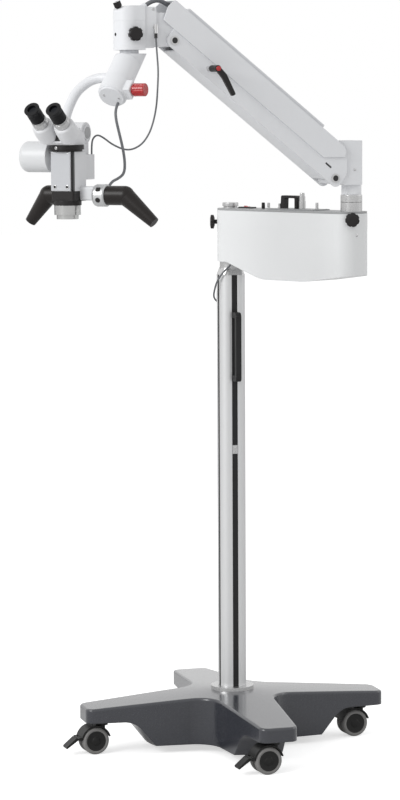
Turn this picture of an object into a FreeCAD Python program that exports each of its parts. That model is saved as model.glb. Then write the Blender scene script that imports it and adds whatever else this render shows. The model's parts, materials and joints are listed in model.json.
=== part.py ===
"""Surgical microscope on a four-legged floor stand.

The origin is on the floor under the column axis, +Z is up, and the legs lie along +X, +Y, -X and -Y.
Each assembly is drawn in a level frame of its own and placed by the rest angles of the joints that carry it.
"""
import FreeCAD
import Part

import math
import os
import re

import Sketcher

Vector = FreeCAD.Vector
Rotation = FreeCAD.Rotation
Placement = FreeCAD.Placement

doc = FreeCAD.newDocument("surgical_microscope")
sheet = doc.addObject("Spreadsheet::Sheet", "sizes")

SIZES = {
    # fits between pieces of different bodies, and between a pin and its bore
    "running_gap": 0.4,
    "pin_gap": 0.15,
    # base casting: four legs with raised tips over the castors
    "leg_reach": 430,
    "leg_tip_width": 102,
    "leg_tip_corner": 24,
    "hub_half_width": 84,
    "hub_fillet": 75,
    "base_wall": 9,
    "skirt_floor_gap": 22,
    "tip_under_level": 92,
    "tip_top_level": 130,
    "hub_top_level": 157,
    "hub_flat_radius": 62,
    "leg_edge_round": 6,
    "notch_foot_inset": 180,
    "notch_roof_inset": 124,
    "notch_curve": 60,
    "boss_radius": 17,
    # castors with twin wheels
    "swivel_inset": 53,
    "wheel_radius": 37.5,
    "wheel_width": 17,
    "wheel_spacing": 29,
    "castor_trail": 24,
    "tyre_depth": 9,
    "tyre_round": 4,
    "hub_dish": 3,
    "axle_radius": 4,
    "web_width": 8,
    "stem_radius": 5.5,
    "stem_depth": 24,
    "hood_gap": 2,
    "hood_wall": 3.5,
    "hood_width": 50,
    "pedal_width": 34,
    "pedal_reach": 106,
    "pedal_thickness": 5,
    "pedal_hinge_radius": 4,
    "pedal_pin_radius": 2,
    "pedal_ear_width": 6,
    # column
    "column_width": 71,
    "column_corner": 22,
    "column_wall": 4,
    "column_top_level": 1311,
    "slot_width": 16,
    "slot_depth": 6,
    "insert_gap": 0.1,
    "ring_radius": 59.5,
    "ring_height": 10,
    "cap_height": 20,
    "cap_slope": 20,
    "spigot_radius": 26,
    "spigot_top_level": 1400,
    "collar_radius": 30,
    # bow handle on the front of the column
    "handle_low_level": 1020,
    "handle_high_level": 1210,
    "handle_standoff": 38,
    "handle_thickness": 14,
    "handle_width": 15,
    "handle_foot": 16,
    "handle_round": 12,
    "handle_cap_radius": 5.5,
    "handle_cap_height": 2,
    # housing of the horizontal arm
    "arm_reach": 446,
    "housing_width": 113,
    "housing_back": 27,
    "housing_front": 30,
    "housing_back_corner": 54,
    "housing_front_corner": 43,
    "housing_top_level": 1494,
    "housing_seat_level": 1349,
    "belly_level": 1306,
    "belly_front_level": 1326,
    "belly_start": 165,
    "belly_end": 330,
    "lid_height": 5,
    "lid_inset": 1,
    "plate_start": 173,
    "plate_end": 339,
    "plate_width": 70,
    "plate_height": 3,
    "top_cap_radius": 22,
    "top_cap_height": 15,
    "switch_start": 38,
    "switch_end": 91,
    "switch_width": 22,
    "switch_height": 4,
    "rocker_length": 14,
    "rocker_width": 10,
    "rocker_height": 3,
    "light_knob_at": 125,
    "light_knob_radius": 5,
    "light_knob_height": 17,
    "lid_post_radius": 4,
    "first_post_at": 145,
    "first_post_height": 17,
    "second_post_at": 186.5,
    "second_post_height": 13,
    "third_post_at": 323,
    "third_post_height": 18,
    "bail_start": 196,
    "bail_end": 256,
    "bail_height": 38,
    "bail_bar": 10,
    "bail_width": 16,
    "plug_at": 269.5,
    "plug_radius": 9,
    "plug_height": 43,
    "clamp_knob_radius": 19,
    "clamp_knob_lobe": 4.2,
    "clamp_knob_lobes": 7,
    "clamp_knob_thickness": 13,
    "clamp_stem_radius": 6,
    "clamp_stem_length": 6,
    "clamp_hole_depth": 6,
    "pivot_knob_level": 1474,
    "column_knob_level": 1456,
    # pivot of the swing arm on the housing
    "sleeve_radius": 28.7,
    "sleeve_height": 25,
    "pivot_ring_height": 20,
    "shank_radius": 16,
    "shank_depth": 60,
    "neck_radius": 26.5,
    "neck_height": 27,
    # swing arm, a parallelogram of a lower link and a covered upper beam
    "link_pivot_out": 67,
    "link_pivot_level": 1583.5,
    "link_length": 580.6,
    "beam_rise": 45,
    "fork_back": 14.4,
    "fork_width": 67,
    "fork_top_rise": 97.5,
    "fork_top_end": 15,
    "fork_lug": 15.5,
    "link_width": 76,
    "link_wall": 4,
    "link_drop": 20,
    "link_rise": 34,
    "link_end": 20,
    "ear_back": 21,
    "ear_rise": 64,
    "cover_width": 84,
    "cover_wall": 3.7,
    "cover_bottom": 21,
    "cover_top": 81,
    "cover_tip": 62,
    "cover_top_start": 57,
    "strip_start": 108,
    "strip_end": 12,
    "strip_height": 11,
    "strip_width": 68,
    "strip_round": 4,
    "beam_height": 18,
    "beam_width": 24,
    "beam_eye": 12,
    "rib_length": 20,
    "rib_start": 150,
    "rib_end": 480,
    "pin_radius": 7,
    "upper_pin_radius": 5,
    "pin_head_radius": 12,
    "pin_head_height": 2,
    "clip_length": 9,
    "clip_height": 4,
    "clip_width": 12,
    "lever_at": 462,
    "lever_height": 2,
    "lever_hub_radius": 8.5,
    "lever_hub_length": 58,
    "lever_stud_length": 18,
    "lever_reach": 78,
    "lever_thickness": 13,
    # elbow at the outer end of the swing arm
    "elbow_out": 109.5,
    "elbow_radius": 40,
    "elbow_floor": 24,
    "elbow_seam": 49,
    "elbow_top": 87,
    "elbow_joint_face": 81.8,
    "rear_block_start": 50,
    "rear_block_width": 75,
    "rear_block_floor": 19,
    "rear_block_top": 84,
    "bracket_rise": 62,
    "elbow_chamfer": 26,
    "elbow_knob_radius": 9,
    "elbow_knob_length": 18,
    "connector_radius": 6,
    "connector_length": 22,
    "swivel_ring_radius": 24,
    "swivel_ring_height": 9,
    # inclined joint
    "incline_start_drop": 43,
    "incline_angle": 45,
    "incline_radius": 36,
    "incline_upper_seam": 20,
    "incline_lower_seam": 93,
    "incline_cap_start": 135,
    "incline_cap_radius": 33,
    "incline_cap_height": 6,
    "carrier_radius": 37.5,
    "clamp_block_size": 34,
    "clamp_block_out": 52,
    "red_knob_radius": 16.5,
    "red_knob_length": 36,
    # optical head
    "head_out": 223,
    "head_side": 60,
    "head_width": 63,
    "head_front": 27,
    "head_back": 43,
    "head_corner": 5,
    "head_top_level": 1663.5,
    "band_top_level": 1566,
    "band_bottom_level": 1541,
    "rear_housing_back": 95,
    "rear_housing_width": 56,
    "rear_housing_low": 1593,
    "rear_housing_high": 1655,
    "corner_notch": 7,
    "front_plate_thickness": 2,
    "front_plate_margin": 1,
    "objective_black_radius": 35,
    "objective_radius": 33,
    "objective_top_level": 1531,
    "objective_step_level": 1507,
    "objective_bottom_level": 1496.5,
    "objective_step_radius": 27.5,
    "lens_bore": 24,
    "lens_thickness": 5,
    "lens_recess": 4,
    "dovetail_radius": 42.5,
    "dovetail_neck_radius": 38,
    "dovetail_height": 16.5,
    "dovetail_neck_height": 5,
    "drum_neck_radius": 12.5,
    "drum_radius": 38.5,
    "drum_end": 125,
    "drum_level": 1650,
    "drum_back": 7,
    "drum_round": 14,
    "tilt_back": 63,
    "tilt_level": 1709,
    "swivel_level": 1896.03,
    "tilt_radius": 26,
    "tilt_left": 32,
    "tilt_right": 20,
    "tilt_disc_height": 4,
    "tilt_neck_start": 46,
    "tilt_neck_end": 82,
    "eye_radius": 22,
    "eye_width": 25,
    "tilt_pin_radius": 8,
    "yoke_radius": 12.5,
    # binocular tube
    "tube_spacing": 60,
    "tube_angle": 38,
    "eyecup_forward": 124,
    "eyecup_level": 1769,
    "eyepiece_radius": 18.5,
    "eyecup_flare": 1.5,
    "eyepiece_length": 45,
    "eyecup_length": 12,
    "ring_length": 17,
    "ring_tube_radius": 19,
    "prism_radius": 27,
    "prism_length": 46,
    "binocular_width": 66,
    "binocular_back": 32,
    "binocular_rise": 34,
    # handles
    "handle_level": 1555,
    "handle_back": 25,
    "bracket_size": 44,
    "bracket_end": 70,
    "clamp_radius": 28,
    "clamp_end": 100,
    "grip_radius": 24,
    "grip_bend": 148,
    "grip_tip": 228,
    "grip_tip_radius": 14,
    "grip_tip_level": 1489,
    "left_bend": 66,
    "grip_pin_radius": 10,
    "grip_pin_length": 9,
    "left_tip": 120,
    # rest angles of the joints, in degrees about +Z, and the pitch of the swing arm
    "housing_turn": -61.5,
    "link_turn": 188.5,
    "link_pitch": 37.76,
    "head_turn": -42.5,
    "castor_turn": 184,
    # cords
    "lead_box_level": 1228,
    "lead_diameter": 5,
    "head_cable_diameter": 7,
    "elbow_cable_diameter": 4.5,
    "gland_length": 12,
    "gland_out": 63.5,
    "gland_rise": 4.8,
    "gland_slope": 32.6,
    "lead_gland_length": 10,
    "lead_socket_radius": 5,
    "lead_socket_drop": 7,
    "hose_diameter": 11,
}
for row, (name, number) in enumerate(SIZES.items(), 1):
    sheet.set(f"A{row}", name)
    sheet.set(f"B{row}", str(number))
    sheet.setAlias(f"B{row}", name)
doc.recompute()

NAME = re.compile(r"\b[a-z]+(?:_[a-z]+)+\b")
nodes = []


def linked(expression):
    """The expression with each size written as a cell of the sheet."""
    return NAME.sub(lambda found: "sizes." + found.group(), str(expression))


def value(expression):
    """What an expression of sizes comes to, as a plain number."""
    number = sheet.evalExpression(str(expression))
    return float(getattr(number, "Value", number))


def bind(item, prop, expression):
    """Ties a property to an expression of sizes."""
    item.setExpression(prop, linked(expression))


def node(item, frame=None):
    """Keeps an object as a piece of the microscope, in the frame of its assembly."""
    if frame is not None:
        item.Placement = frame
    nodes.append(item)
    return item


def plane_of(body, role):
    return next(item for item in body.Origin.OriginFeatures if item.Role == role)


def new_sketch(body, role, lift="0"):
    """A sketch on an origin plane of the body, lifted along the plane's normal."""
    sketch = body.newObject("Sketcher::SketchObject", "Sketch")
    sketch.AttachmentSupport = [(plane_of(body, role), "")]
    sketch.MapMode = "FlatFace"
    bind(sketch, "AttachmentOffset.Base.z", lift)
    return sketch


def place_point(sketch, geometry, end, place):
    """Ties one point of a sketch to two coordinates."""
    for kind, axis, expression in (("DistanceX", -2, place[0]), ("DistanceY", -1, place[1])):
        number = value(expression)
        if abs(number) < 1e-9:
            sketch.addConstraint(Sketcher.Constraint("PointOnObject", geometry, end, axis))
        else:
            mark = sketch.addConstraint(Sketcher.Constraint(kind, geometry, end, number))
            bind(sketch, f"Constraints[{mark}]", expression)


def outline(sketch, corners):
    """A closed outline of straight edges; a corner with a third entry is rounded by that radius."""
    points = [Vector(value(c[0]), value(c[1]), 0) for c in corners]
    count = len(corners)
    starts, ends, centres = [], [], []
    for i, corner in enumerate(corners):
        before = (points[i - 1] - points[i]).normalize()
        after = (points[(i + 1) % count] - points[i]).normalize()
        if len(corner) < 3:
            ends.append(points[i])
            starts.append(points[i])
            centres.append(None)
            continue
        half = before.getAngle(after) / 2
        reach = value(corner[2]) / math.tan(half)
        ends.append(points[i] + before * reach)
        starts.append(points[i] + after * reach)
        middle = (before + after).normalize()
        centres.append(points[i] + middle * (value(corner[2]) / math.sin(half)))
    lines = []
    for i in range(count):
        lines.append(sketch.addGeometry(Part.LineSegment(starts[i], ends[(i + 1) % count])))
    for i, corner in enumerate(corners):
        before, after = lines[i - 1], lines[i]
        if centres[i] is None:
            sketch.addConstraint(Sketcher.Constraint("Coincident", before, 2, after, 1))
            place_point(sketch, after, 1, corner)
            continue
        radius = value(corner[2])
        first, last = ends[i] - centres[i], starts[i] - centres[i]
        turn = first.x * last.y - first.y * last.x
        low, high = (first, last) if turn > 0 else (last, first)
        circle = Part.Circle(centres[i], Vector(0, 0, 1), radius)
        from_angle, to_angle = math.atan2(low.y, low.x), math.atan2(high.y, high.x)
        arc = sketch.addGeometry(Part.ArcOfCircle(circle, from_angle, to_angle))
        near, far = (1, 2) if turn > 0 else (2, 1)
        sketch.addConstraint(Sketcher.Constraint("Tangent", before, 2, arc, near))
        sketch.addConstraint(Sketcher.Constraint("Tangent", after, 1, arc, far))
        mark = sketch.addConstraint(Sketcher.Constraint("Radius", arc, radius))
        bind(sketch, f"Constraints[{mark}]", corner[2])
        tip = sketch.addGeometry(Part.Point(points[i]), True)
        sketch.addConstraint(Sketcher.Constraint("PointOnObject", tip, 1, before))
        sketch.addConstraint(Sketcher.Constraint("PointOnObject", tip, 1, after))
        place_point(sketch, tip, 1, corner)


def ring(sketch, x, y, radius):
    """A circle with its centre and radius tied."""
    circle = Part.Circle(Vector(value(x), value(y), 0), Vector(0, 0, 1), value(radius))
    geometry = sketch.addGeometry(circle)
    place_point(sketch, geometry, 3, (x, y))
    mark = sketch.addConstraint(Sketcher.Constraint("Radius", geometry, value(radius)))
    bind(sketch, f"Constraints[{mark}]", radius)


def rectangle(x0, y0, x1, y1, radius=None):
    """The corners of a rectangle, all rounded alike."""
    corners = [(x0, y0), (x1, y0), (x1, y1), (x0, y1)]
    if radius is not None:
        corners = [corner + (radius,) for corner in corners]
    return corners


def new_body(label):
    body = doc.addObject("PartDesign::Body", label)
    body.Label = label
    return body


def pad(body, sketch, length, taper=None):
    feature = body.newObject("PartDesign::Pad", "Pad")
    feature.Profile = sketch
    bind(feature, "Length", length)
    if taper is not None:
        bind(feature, "TaperAngle", taper)
    sketch.Visibility = False
    return feature


def prism(label, role, outlines, start, length, circles=(), taper=None):
    """A body padded from one sketch: XY lies flat, XZ faces -Y and YZ faces +X; start is along +Z, +Y or +X."""
    body = new_body(label)
    lift = f"-({start})-({length})" if role == "XZ_Plane" else start
    sketch = new_sketch(body, role, lift)
    for corners in outlines:
        outline(sketch, corners)
    for circle in circles:
        ring(sketch, *circle)
    pad(body, sketch, length, taper)
    return body


def turned(label, corners, angle="360", role="XZ_Plane", axis="V_Axis"):
    """A body turned about an axis of its sketch from a profile of radius and level."""
    body = new_body(label)
    sketch = new_sketch(body, role)
    outline(sketch, corners)
    feature = body.newObject("PartDesign::Revolution", "Revolution")
    feature.Profile = sketch
    feature.ReferenceAxis = (sketch, [axis])
    bind(feature, "Angle", angle)
    sketch.Visibility = False
    return body


def fused(label, *items):
    item = doc.addObject("Part::MultiFuse", label)
    item.Shapes = list(items)
    item.Label = label
    return item


def cut(label, base, tool):
    item = doc.addObject("Part::Cut", label)
    item.Base = base
    item.Tool = tool
    item.Label = label
    return item


def common(label, *items):
    item = doc.addObject("Part::MultiCommon", label)
    item.Shapes = list(items)
    item.Label = label
    return item


def grouped(label, items):
    """Separate solids that share one piece's name."""
    item = doc.addObject("Part::Compound", label)
    item.Links = list(items)
    item.Label = label
    return item


def rod(label, radius, length, place=None):
    """A plain cylinder along the Z of its own placement."""
    item = doc.addObject("Part::Cylinder", label)
    item.Label = label
    bind(item, "Radius", radius)
    bind(item, "Height", length)
    if place is not None:
        item.Placement = place
    return item


def at(x="0", y="0", z="0", axis=Vector(0, 0, 1)):
    """A placement at x, y, z with its Z turned onto the axis."""
    return Placement(Vector(value(x), value(y), value(z)), Rotation(Vector(0, 0, 1), axis))


def turned_frame(x="0", y="0", z="0", angle="0"):
    """A placement at x, y, z turned about +Z."""
    return Placement(Vector(value(x), value(y), value(z)), Rotation(Vector(0, 0, 1), value(angle)))


ALONG_X = Vector(1, 0, 0)
ALONG_Y = Vector(0, 1, 0)


def tube(label, points, radius):
    """A round cord: straight runs joined by arcs, each as large as its two runs allow."""
    radii, edges, start = [], [], points[0]
    for before, corner, after in zip(points, points[1:], points[2:]):
        back, ahead = before - corner, after - corner
        shorter = min(back.Length, ahead.Length)
        turn = math.pi - back.getAngle(ahead)
        arc_radius = 0.45 * shorter / math.tan(turn / 2)
        radii.append(round(arc_radius, 1))
        first = corner + Vector(back).normalize() * 0.45 * shorter
        last = corner + Vector(ahead).normalize() * 0.45 * shorter
        inner = (Vector(back).normalize() + Vector(ahead).normalize()).normalize()
        centre = corner + inner * (arc_radius / math.cos(turn / 2))
        middle = centre + (corner - centre).normalize() * arc_radius
        edges.append(Part.LineSegment(start, first).toShape())
        edges.append(Part.Arc(first, middle, last).toShape())
        start = last
    edges.append(Part.LineSegment(start, points[-1]).toShape())
    path = Part.Wire(edges)
    section = Part.Wire(Part.makeCircle(radius, points[0], points[1] - points[0]))
    solid = path.makePipeShell([section], True, False)
    print(f"{label}: length {path.Length:.0f} mm, radii {radii}, volume {solid.Volume:.0f} mm3,"
          f" section times length {math.pi * radius ** 2 * path.Length:.0f} mm3")
    item = doc.addObject("Part::Feature", label)
    item.Label = label
    item.Shape = solid
    return item


# Base: one hollow casting with four legs, open underneath, its tips raised over the castors.
def legs_outline(inset):
    """The plan of the four legs, drawn in by an inset."""
    corners = []
    half = f"(leg_tip_width/2-{inset})"
    hub = f"(hub_half_width-{inset})"
    reach = f"(leg_reach-{inset})"
    tip = f"leg_tip_corner-{inset}"
    fillet = f"hub_fillet+{inset}"
    for c, s in ((1, 0), (0, 1), (-1, 0), (0, -1)):
        low = (f"{c}*{reach}+{s}*{half}", f"{s}*{reach}-{c}*{half}", tip)
        high = (f"{c}*{reach}-{s}*{half}", f"{s}*{reach}+{c}*{half}", tip)
        inner = (f"{c - s}*{hub}", f"{s + c}*{hub}", fillet)
        corners += [low, high, inner]
    return corners


def legs_profile(inset):
    """The side of the legs, from the open underside to the sloping top."""
    under = "tip_under_level"
    foot = "skirt_floor_gap"
    top = f"hub_top_level-{inset}"
    end_top = f"tip_top_level-{inset}"
    if inset == "0":
        return [("0", foot), ("leg_reach-notch_foot_inset", foot),
                ("leg_reach-notch_roof_inset", under, "notch_curve"),
                ("leg_reach+10", under), ("leg_reach+10", end_top), ("hub_flat_radius", top), ("0", top)]
    return [("0", f"{foot}-10"), (f"leg_reach-notch_foot_inset-{inset}-4", f"{foot}-10"),
            (f"leg_reach-notch_roof_inset-{inset}", f"tip_top_level-{inset}-6", "notch_curve-20"),
            (f"leg_reach-notch_roof_inset-{inset}+1", f"tip_top_level-{inset}+2"),
            ("hub_flat_radius", top), ("0", top)]


plan = prism("base_plan", "XY_Plane", [legs_outline("0")], "skirt_floor_gap", "hub_top_level")
side = turned("base_side", legs_profile("0"))
hollow_plan = prism("base_hollow_plan", "XY_Plane", [legs_outline("base_wall")], "0", "hub_top_level")
hollow_side = turned("base_hollow_side", legs_profile("base_wall"))
sharp_outer = common("base_sharp", plan, side)
doc.recompute()
rim = []
for number, edge in enumerate(sharp_outer.Shape.Edges, 1):
    middle = edge.valueAt((edge.FirstParameter + edge.LastParameter) / 2)
    on_top = edge.BoundBox.ZMin > value("tip_top_level") - 1
    if on_top and math.hypot(middle.x, middle.y) > value("hub_flat_radius") + 1:
        rim.append((number, value("leg_edge_round"), value("leg_edge_round")))
outer = doc.addObject("Part::Fillet", "base_outer")
outer.Base = sharp_outer
outer.Edges = rim
hollow = common("base_hollow", hollow_plan, hollow_side)
shell = cut("base_shell", outer, hollow)
stems = []
for number in range(4):
    angle = 90 * number
    away = Rotation(Vector(0, 0, 1), angle).multVec(Vector(value("leg_reach-swivel_inset"), 0, 0))
    bore = rod("stem_bore", "stem_radius", "stem_depth-2+running_gap")
    bore.Placement = Placement(away + Vector(0, 0, value("tip_under_level-1")), Rotation())
    stems.append(bore)
node(cut("base_casting", shell, fused("stem_bores", *stems)))


# The lead beside the column runs from the cap, round the left side, to the rear face.
LEAD_ROUTE = [
    Vector(-13, -39, 1338), Vector(-26, -41, 1328), Vector(-38, -34, 1312), Vector(-46, -17, 1291),
    Vector(-46, 3, 1268),
    Vector(-43, 22, 1250), Vector(-32, 38, 1238), Vector(-18, 43.5, 1228), Vector(-5, 43.5, 1228)]

# Column: a square aluminium profile with round corners and a slot in each face, filled by dark strips.
def column_outline(grow, with_slots):
    """The profile's outline from -X, -Y round; each face has its slot where asked."""
    half = f"(column_width/2+{grow})"
    notch = "(slot_width/2)"
    floor = "(column_width/2-slot_depth)"
    round_corner = f"column_corner+{grow}"
    corners = []
    for c, s in ((1, 0), (0, 1), (-1, 0), (0, -1)):
        if with_slots:
            for out, across in ((half, -1), (floor, -1), (floor, 1), (half, 1)):
                corners.append((f"{c}*{out}-{s}*{across}*{notch}", f"{s}*{out}+{c}*{across}*{notch}"))
        corners.append((f"{c - s}*{half}", f"{s + c}*{half}", round_corner))
    return corners


column_length = "column_top_level-hub_top_level"
bore_half = "(column_width/2-slot_depth-column_wall)"
bore_outline = rectangle(f"-{bore_half}", f"-{bore_half}", bore_half, bore_half, "column_corner/2")
node(prism("column_profile", "XY_Plane", [column_outline("0", True), bore_outline], "hub_top_level",
           column_length))
strips = []
for c, s in ((1, 0), (0, 1), (-1, 0), (0, -1)):
    strip = prism("slot_strip", "XY_Plane", [rectangle("column_width/2-slot_depth", "insert_gap-slot_width/2",
                  "column_width/2-1", "slot_width/2-insert_gap")], "hub_top_level", column_length)
    strip.Placement = Placement(Vector(), Rotation(Vector(c, s, 0), 0) if (c, s) == (1, 0) else
                                Rotation(Vector(0, 0, 1), math.degrees(math.atan2(s, c))))
    strips.append(strip)
lead_box = prism("lead_box", "XY_Plane",
                 [rectangle("-5", "column_width/2+running_gap", "14", "column_width/2+14", "3")],
                 "lead_box_level-9", "18")
node(grouped("column_inserts", [*strips, lead_box]))
node(prism("column_ring", "XY_Plane", [column_outline("insert_gap", False)], "hub_top_level", "ring_height",
           circles=[("0", "0", "ring_radius")]))
cap_foot = prism("cap_foot", "XY_Plane", [column_outline("0", False)], "column_top_level", "cap_height",
                 taper="-cap_slope")
spigot = turned("spigot", [("0", "column_top_level+1"), ("collar_radius", "column_top_level+1"),
                ("collar_radius", "housing_seat_level-running_gap"),
                ("spigot_radius", "housing_seat_level-running_gap"),
                ("spigot_radius", "spigot_top_level"), ("0", "spigot_top_level")])
gland_away = (LEAD_ROUTE[1] - LEAD_ROUTE[0]).normalize()
cap_gland = rod("lead_gland", "lead_diameter/2+2", "lead_gland_length",
                Placement(LEAD_ROUTE[0] - gland_away * value("lead_gland_length"),
                          Rotation(Vector(0, 0, 1), gland_away)))
lead_socket = rod("lead_socket", "lead_socket_radius", "column_width/2+7-collar_radius+lead_socket_radius",
                  at("-lead_socket_radius", "lead_socket_radius-collar_radius",
                     "housing_seat_level-lead_socket_drop",
                     Vector(0, -1, 0)))
node(fused("column_cap", cap_foot, spigot, cap_gland, lead_socket))

# Push handle: a square bar standing off the front face on two feet, with a round cap over each screw.
front = "column_width/2"
grip_out = f"-({front}+handle_standoff)"
grip_in = f"-({front}+handle_standoff-handle_thickness)"
bar = prism("handle_bar", "YZ_Plane", [[
    (grip_in, "handle_low_level"), (grip_out, "handle_low_level", "handle_round"),
    (grip_out, "handle_high_level", "handle_round"), (grip_in, "handle_high_level")]],
    "-handle_width/2", "handle_width")
feet = [prism("handle_stand_off", "YZ_Plane", [rectangle(grip_in, foot, f"-{front}", f"{foot}+handle_foot")],
              "-handle_width/2", "handle_width")
        for foot in ("handle_low_level", "(handle_high_level-handle_foot)")]
caps = []
for level in ("handle_low_level+handle_foot/2+handle_round/2",
              "handle_high_level-handle_foot/2-handle_round/2"):
    caps.append(rod("handle_screw_cap", "handle_cap_radius", "handle_cap_height",
                    at("0", grip_out, level, Vector(0, -1, 0))))
node(grouped("column_handle", [bar, *feet, *caps]))


# Castors: a forked web under a curved hood, with a wheel on each side; all four trail the same way.
PEDAL_HINGE_X = "(castor_trail+wheel_radius+hood_gap+hood_wall+pedal_hinge_radius)"
PEDAL_HINGE_Z = "(wheel_radius+8)"


def castor(name, angle):
    away = Rotation(Vector(0, 0, 1), angle).multVec(Vector(value("leg_reach-swivel_inset"), 0, 0))
    frame = Placement(away, Rotation(Vector(0, 0, 1), value("castor_turn")))
    hood_inner = "(wheel_radius+hood_gap)"
    hood_outer = f"({hood_inner}+hood_wall)"
    web = prism("castor_web", "XZ_Plane", [[
        ("castor_trail-14", "wheel_radius-14", "10"), ("castor_trail+14", "wheel_radius-14", "10"),
        (f"castor_trail+14", f"wheel_radius+{hood_inner}+1"),
        ("-stem_radius-3", f"wheel_radius+{hood_inner}+1"),
        ("-stem_radius-3", "wheel_radius+10", "6")]], "-web_width/2", "web_width",
        circles=[("castor_trail", "wheel_radius", "axle_radius")])
    hood = new_body("castor_hood")
    arch = new_sketch(hood, "XY_Plane")
    outline(arch, rectangle(hood_inner, "-hood_width/2", hood_outer, "hood_width/2"))
    sweep = hood.newObject("PartDesign::Revolution", "Revolution")
    sweep.Profile = arch
    sweep.ReferenceAxis = (arch, ["V_Axis"])
    sweep.Angle = 150
    sweep.Reversed = True
    hood.Placement = Placement(Vector(value("castor_trail"), 0, value("wheel_radius")),
                               Rotation(Vector(0, 1, 0), -15))
    crown = f"wheel_radius+{hood_inner}+1"
    stem = turned("castor_stem", [("0", crown), ("boss_radius", crown),
                                  ("boss_radius", "tip_under_level-running_gap"),
                  ("stem_radius-pin_gap", "tip_under_level-running_gap"),
                  ("stem_radius-pin_gap", "tip_under_level+stem_depth-6"),
                  ("0", "tip_under_level+stem_depth-6")])
    if name in ("left", "front"):
        ears = [prism("pedal_ear", "XZ_Plane", [[
            (f"{PEDAL_HINGE_X}-pedal_hinge_radius-5", f"{PEDAL_HINGE_Z}-pedal_hinge_radius"),
            (f"{PEDAL_HINGE_X}+pedal_hinge_radius", f"{PEDAL_HINGE_Z}-pedal_hinge_radius",
             "pedal_hinge_radius-1"),
            (f"{PEDAL_HINGE_X}+pedal_hinge_radius", f"{PEDAL_HINGE_Z}+pedal_hinge_radius",
             "pedal_hinge_radius-1"),
            (f"{PEDAL_HINGE_X}-pedal_hinge_radius-5", f"{PEDAL_HINGE_Z}+pedal_hinge_radius")]],
            y, "pedal_ear_width", circles=[(PEDAL_HINGE_X, PEDAL_HINGE_Z, "pedal_pin_radius+pin_gap")])
            for y in ("-pedal_width/2-running_gap-pedal_ear_width", "pedal_width/2+running_gap")]
        hood = fused("castor_hood_with_ears", hood, *ears)
    node(fused(f"castor_fork_{name}", web, hood, stem), frame)
    parts = []
    for side in (1, -1):
        tyre = turned("castor_tyre", [
            ("wheel_radius-tyre_depth", "-wheel_width/2"), ("wheel_radius", "-wheel_width/2", "tyre_round"),
            ("wheel_radius", "wheel_width/2", "tyre_round"), ("wheel_radius-tyre_depth", "wheel_width/2")])
        disc = turned("castor_disc", [
            ("axle_radius", "-wheel_width/2+hub_dish"), ("wheel_radius-tyre_depth", "-wheel_width/2"),
            ("wheel_radius-tyre_depth", "wheel_width/2"), ("axle_radius", "wheel_width/2-hub_dish")])
        for item in (tyre, disc):
            item.Placement = at("castor_trail", f"{side}*wheel_spacing/2", "wheel_radius", ALONG_Y)
            parts.append(item)
    axle = rod("castor_axle", "axle_radius-pin_gap", "wheel_spacing+wheel_width-2*hub_dish",
               at("castor_trail", "-(wheel_spacing+wheel_width)/2+hub_dish", "wheel_radius", ALONG_Y))
    journal = [rod("castor_journal", "axle_radius", "wheel_width-2*hub_dish",
                   at("castor_trail", f"{side}*wheel_spacing/2-wheel_width/2+hub_dish", "wheel_radius",
                      ALONG_Y))
               for side in (1, -1)]
    parts.append(fused("castor_axle_with_journals", axle, *journal))
    node(grouped(f"castor_wheels_{name}", parts), frame)
    return frame


castor_frames = {}
for name, angle in (("right", 0), ("rear", 90), ("left", 180), ("front", -90)):
    castor_frames[name] = castor(name, angle)
for name in ("left", "front"):
    lever = prism("pedal_plate", "XZ_Plane", [[
        (PEDAL_HINGE_X, "wheel_radius+6"), ("pedal_reach", "20"), ("pedal_reach+1", "25", "2"),
        (f"{PEDAL_HINGE_X}+8", "wheel_radius+6+pedal_thickness")]], "-pedal_width/2", "pedal_width")
    boss = rod("pedal_boss", "pedal_hinge_radius", "pedal_width",
               at(PEDAL_HINGE_X, "-pedal_width/2", PEDAL_HINGE_Z, ALONG_Y))
    pin = rod("pedal_pin", "pedal_pin_radius", "pedal_width+2*running_gap+2*pedal_ear_width",
              at(PEDAL_HINGE_X, "-pedal_width/2-running_gap-pedal_ear_width", PEDAL_HINGE_Z, ALONG_Y))
    node(fused(f"brake_pedal_{name}", lever, boss, pin), castor_frames[name])


# Horizontal arm: a long housing with rounded ends and a curved belly, under a flat lid.
housing_frame = turned_frame(angle="housing_turn")


def housing_plan(inset):
    """The plan of the housing, rounder at the column than at the pivot."""
    back, end = f"-housing_back+{inset}", f"arm_reach+housing_front-{inset}"
    half = f"(housing_width/2-{inset})"
    back_round, end_round = f"housing_back_corner-{inset}", f"housing_front_corner-{inset}"
    return [(back, f"-{half}", back_round), (end, f"-{half}", end_round),
            (end, half, end_round), (back, half, back_round)]


lid_seat = "housing_top_level-lid_height"
housing_block = prism("housing_block", "XY_Plane", [housing_plan("0")], "belly_level",
                      f"{lid_seat}-belly_level")
housing_side = prism("housing_side", "XZ_Plane", [[
    ("-housing_back-5", "housing_top_level+1"), ("-housing_back-5", "housing_seat_level", "8"),
    ("housing_back+12", "housing_seat_level", "30"), ("belly_start", "belly_level", "150"),
    ("belly_end", "belly_level", "300"), ("arm_reach+housing_front+5", "belly_front_level", "8"),
    ("arm_reach+housing_front+5", "housing_top_level+1")]], "-housing_width", "2*housing_width")
housing_form = common("housing_form", housing_block, housing_side)
shank_room = rod("shank_room", "shank_radius+pin_gap", "shank_depth+lid_height+1",
                 at("arm_reach", "0", "housing_top_level-shank_depth"))
spigot_room = rod("spigot_room", "spigot_radius+pin_gap", "spigot_top_level-belly_level+1",
                  at("0", "0", "belly_level"))


def knob_seat(level, centre, angle, reach):
    """Where a clamp knob stands: its bore points at the axis that it clamps."""
    away = Rotation(Vector(0, 0, 1), angle).multVec(Vector(1, 0, 0))
    return Placement(Vector(value(centre), 0, value(level)) + away * value(reach),
                     Rotation(Vector(0, 0, 1), away))


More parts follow.
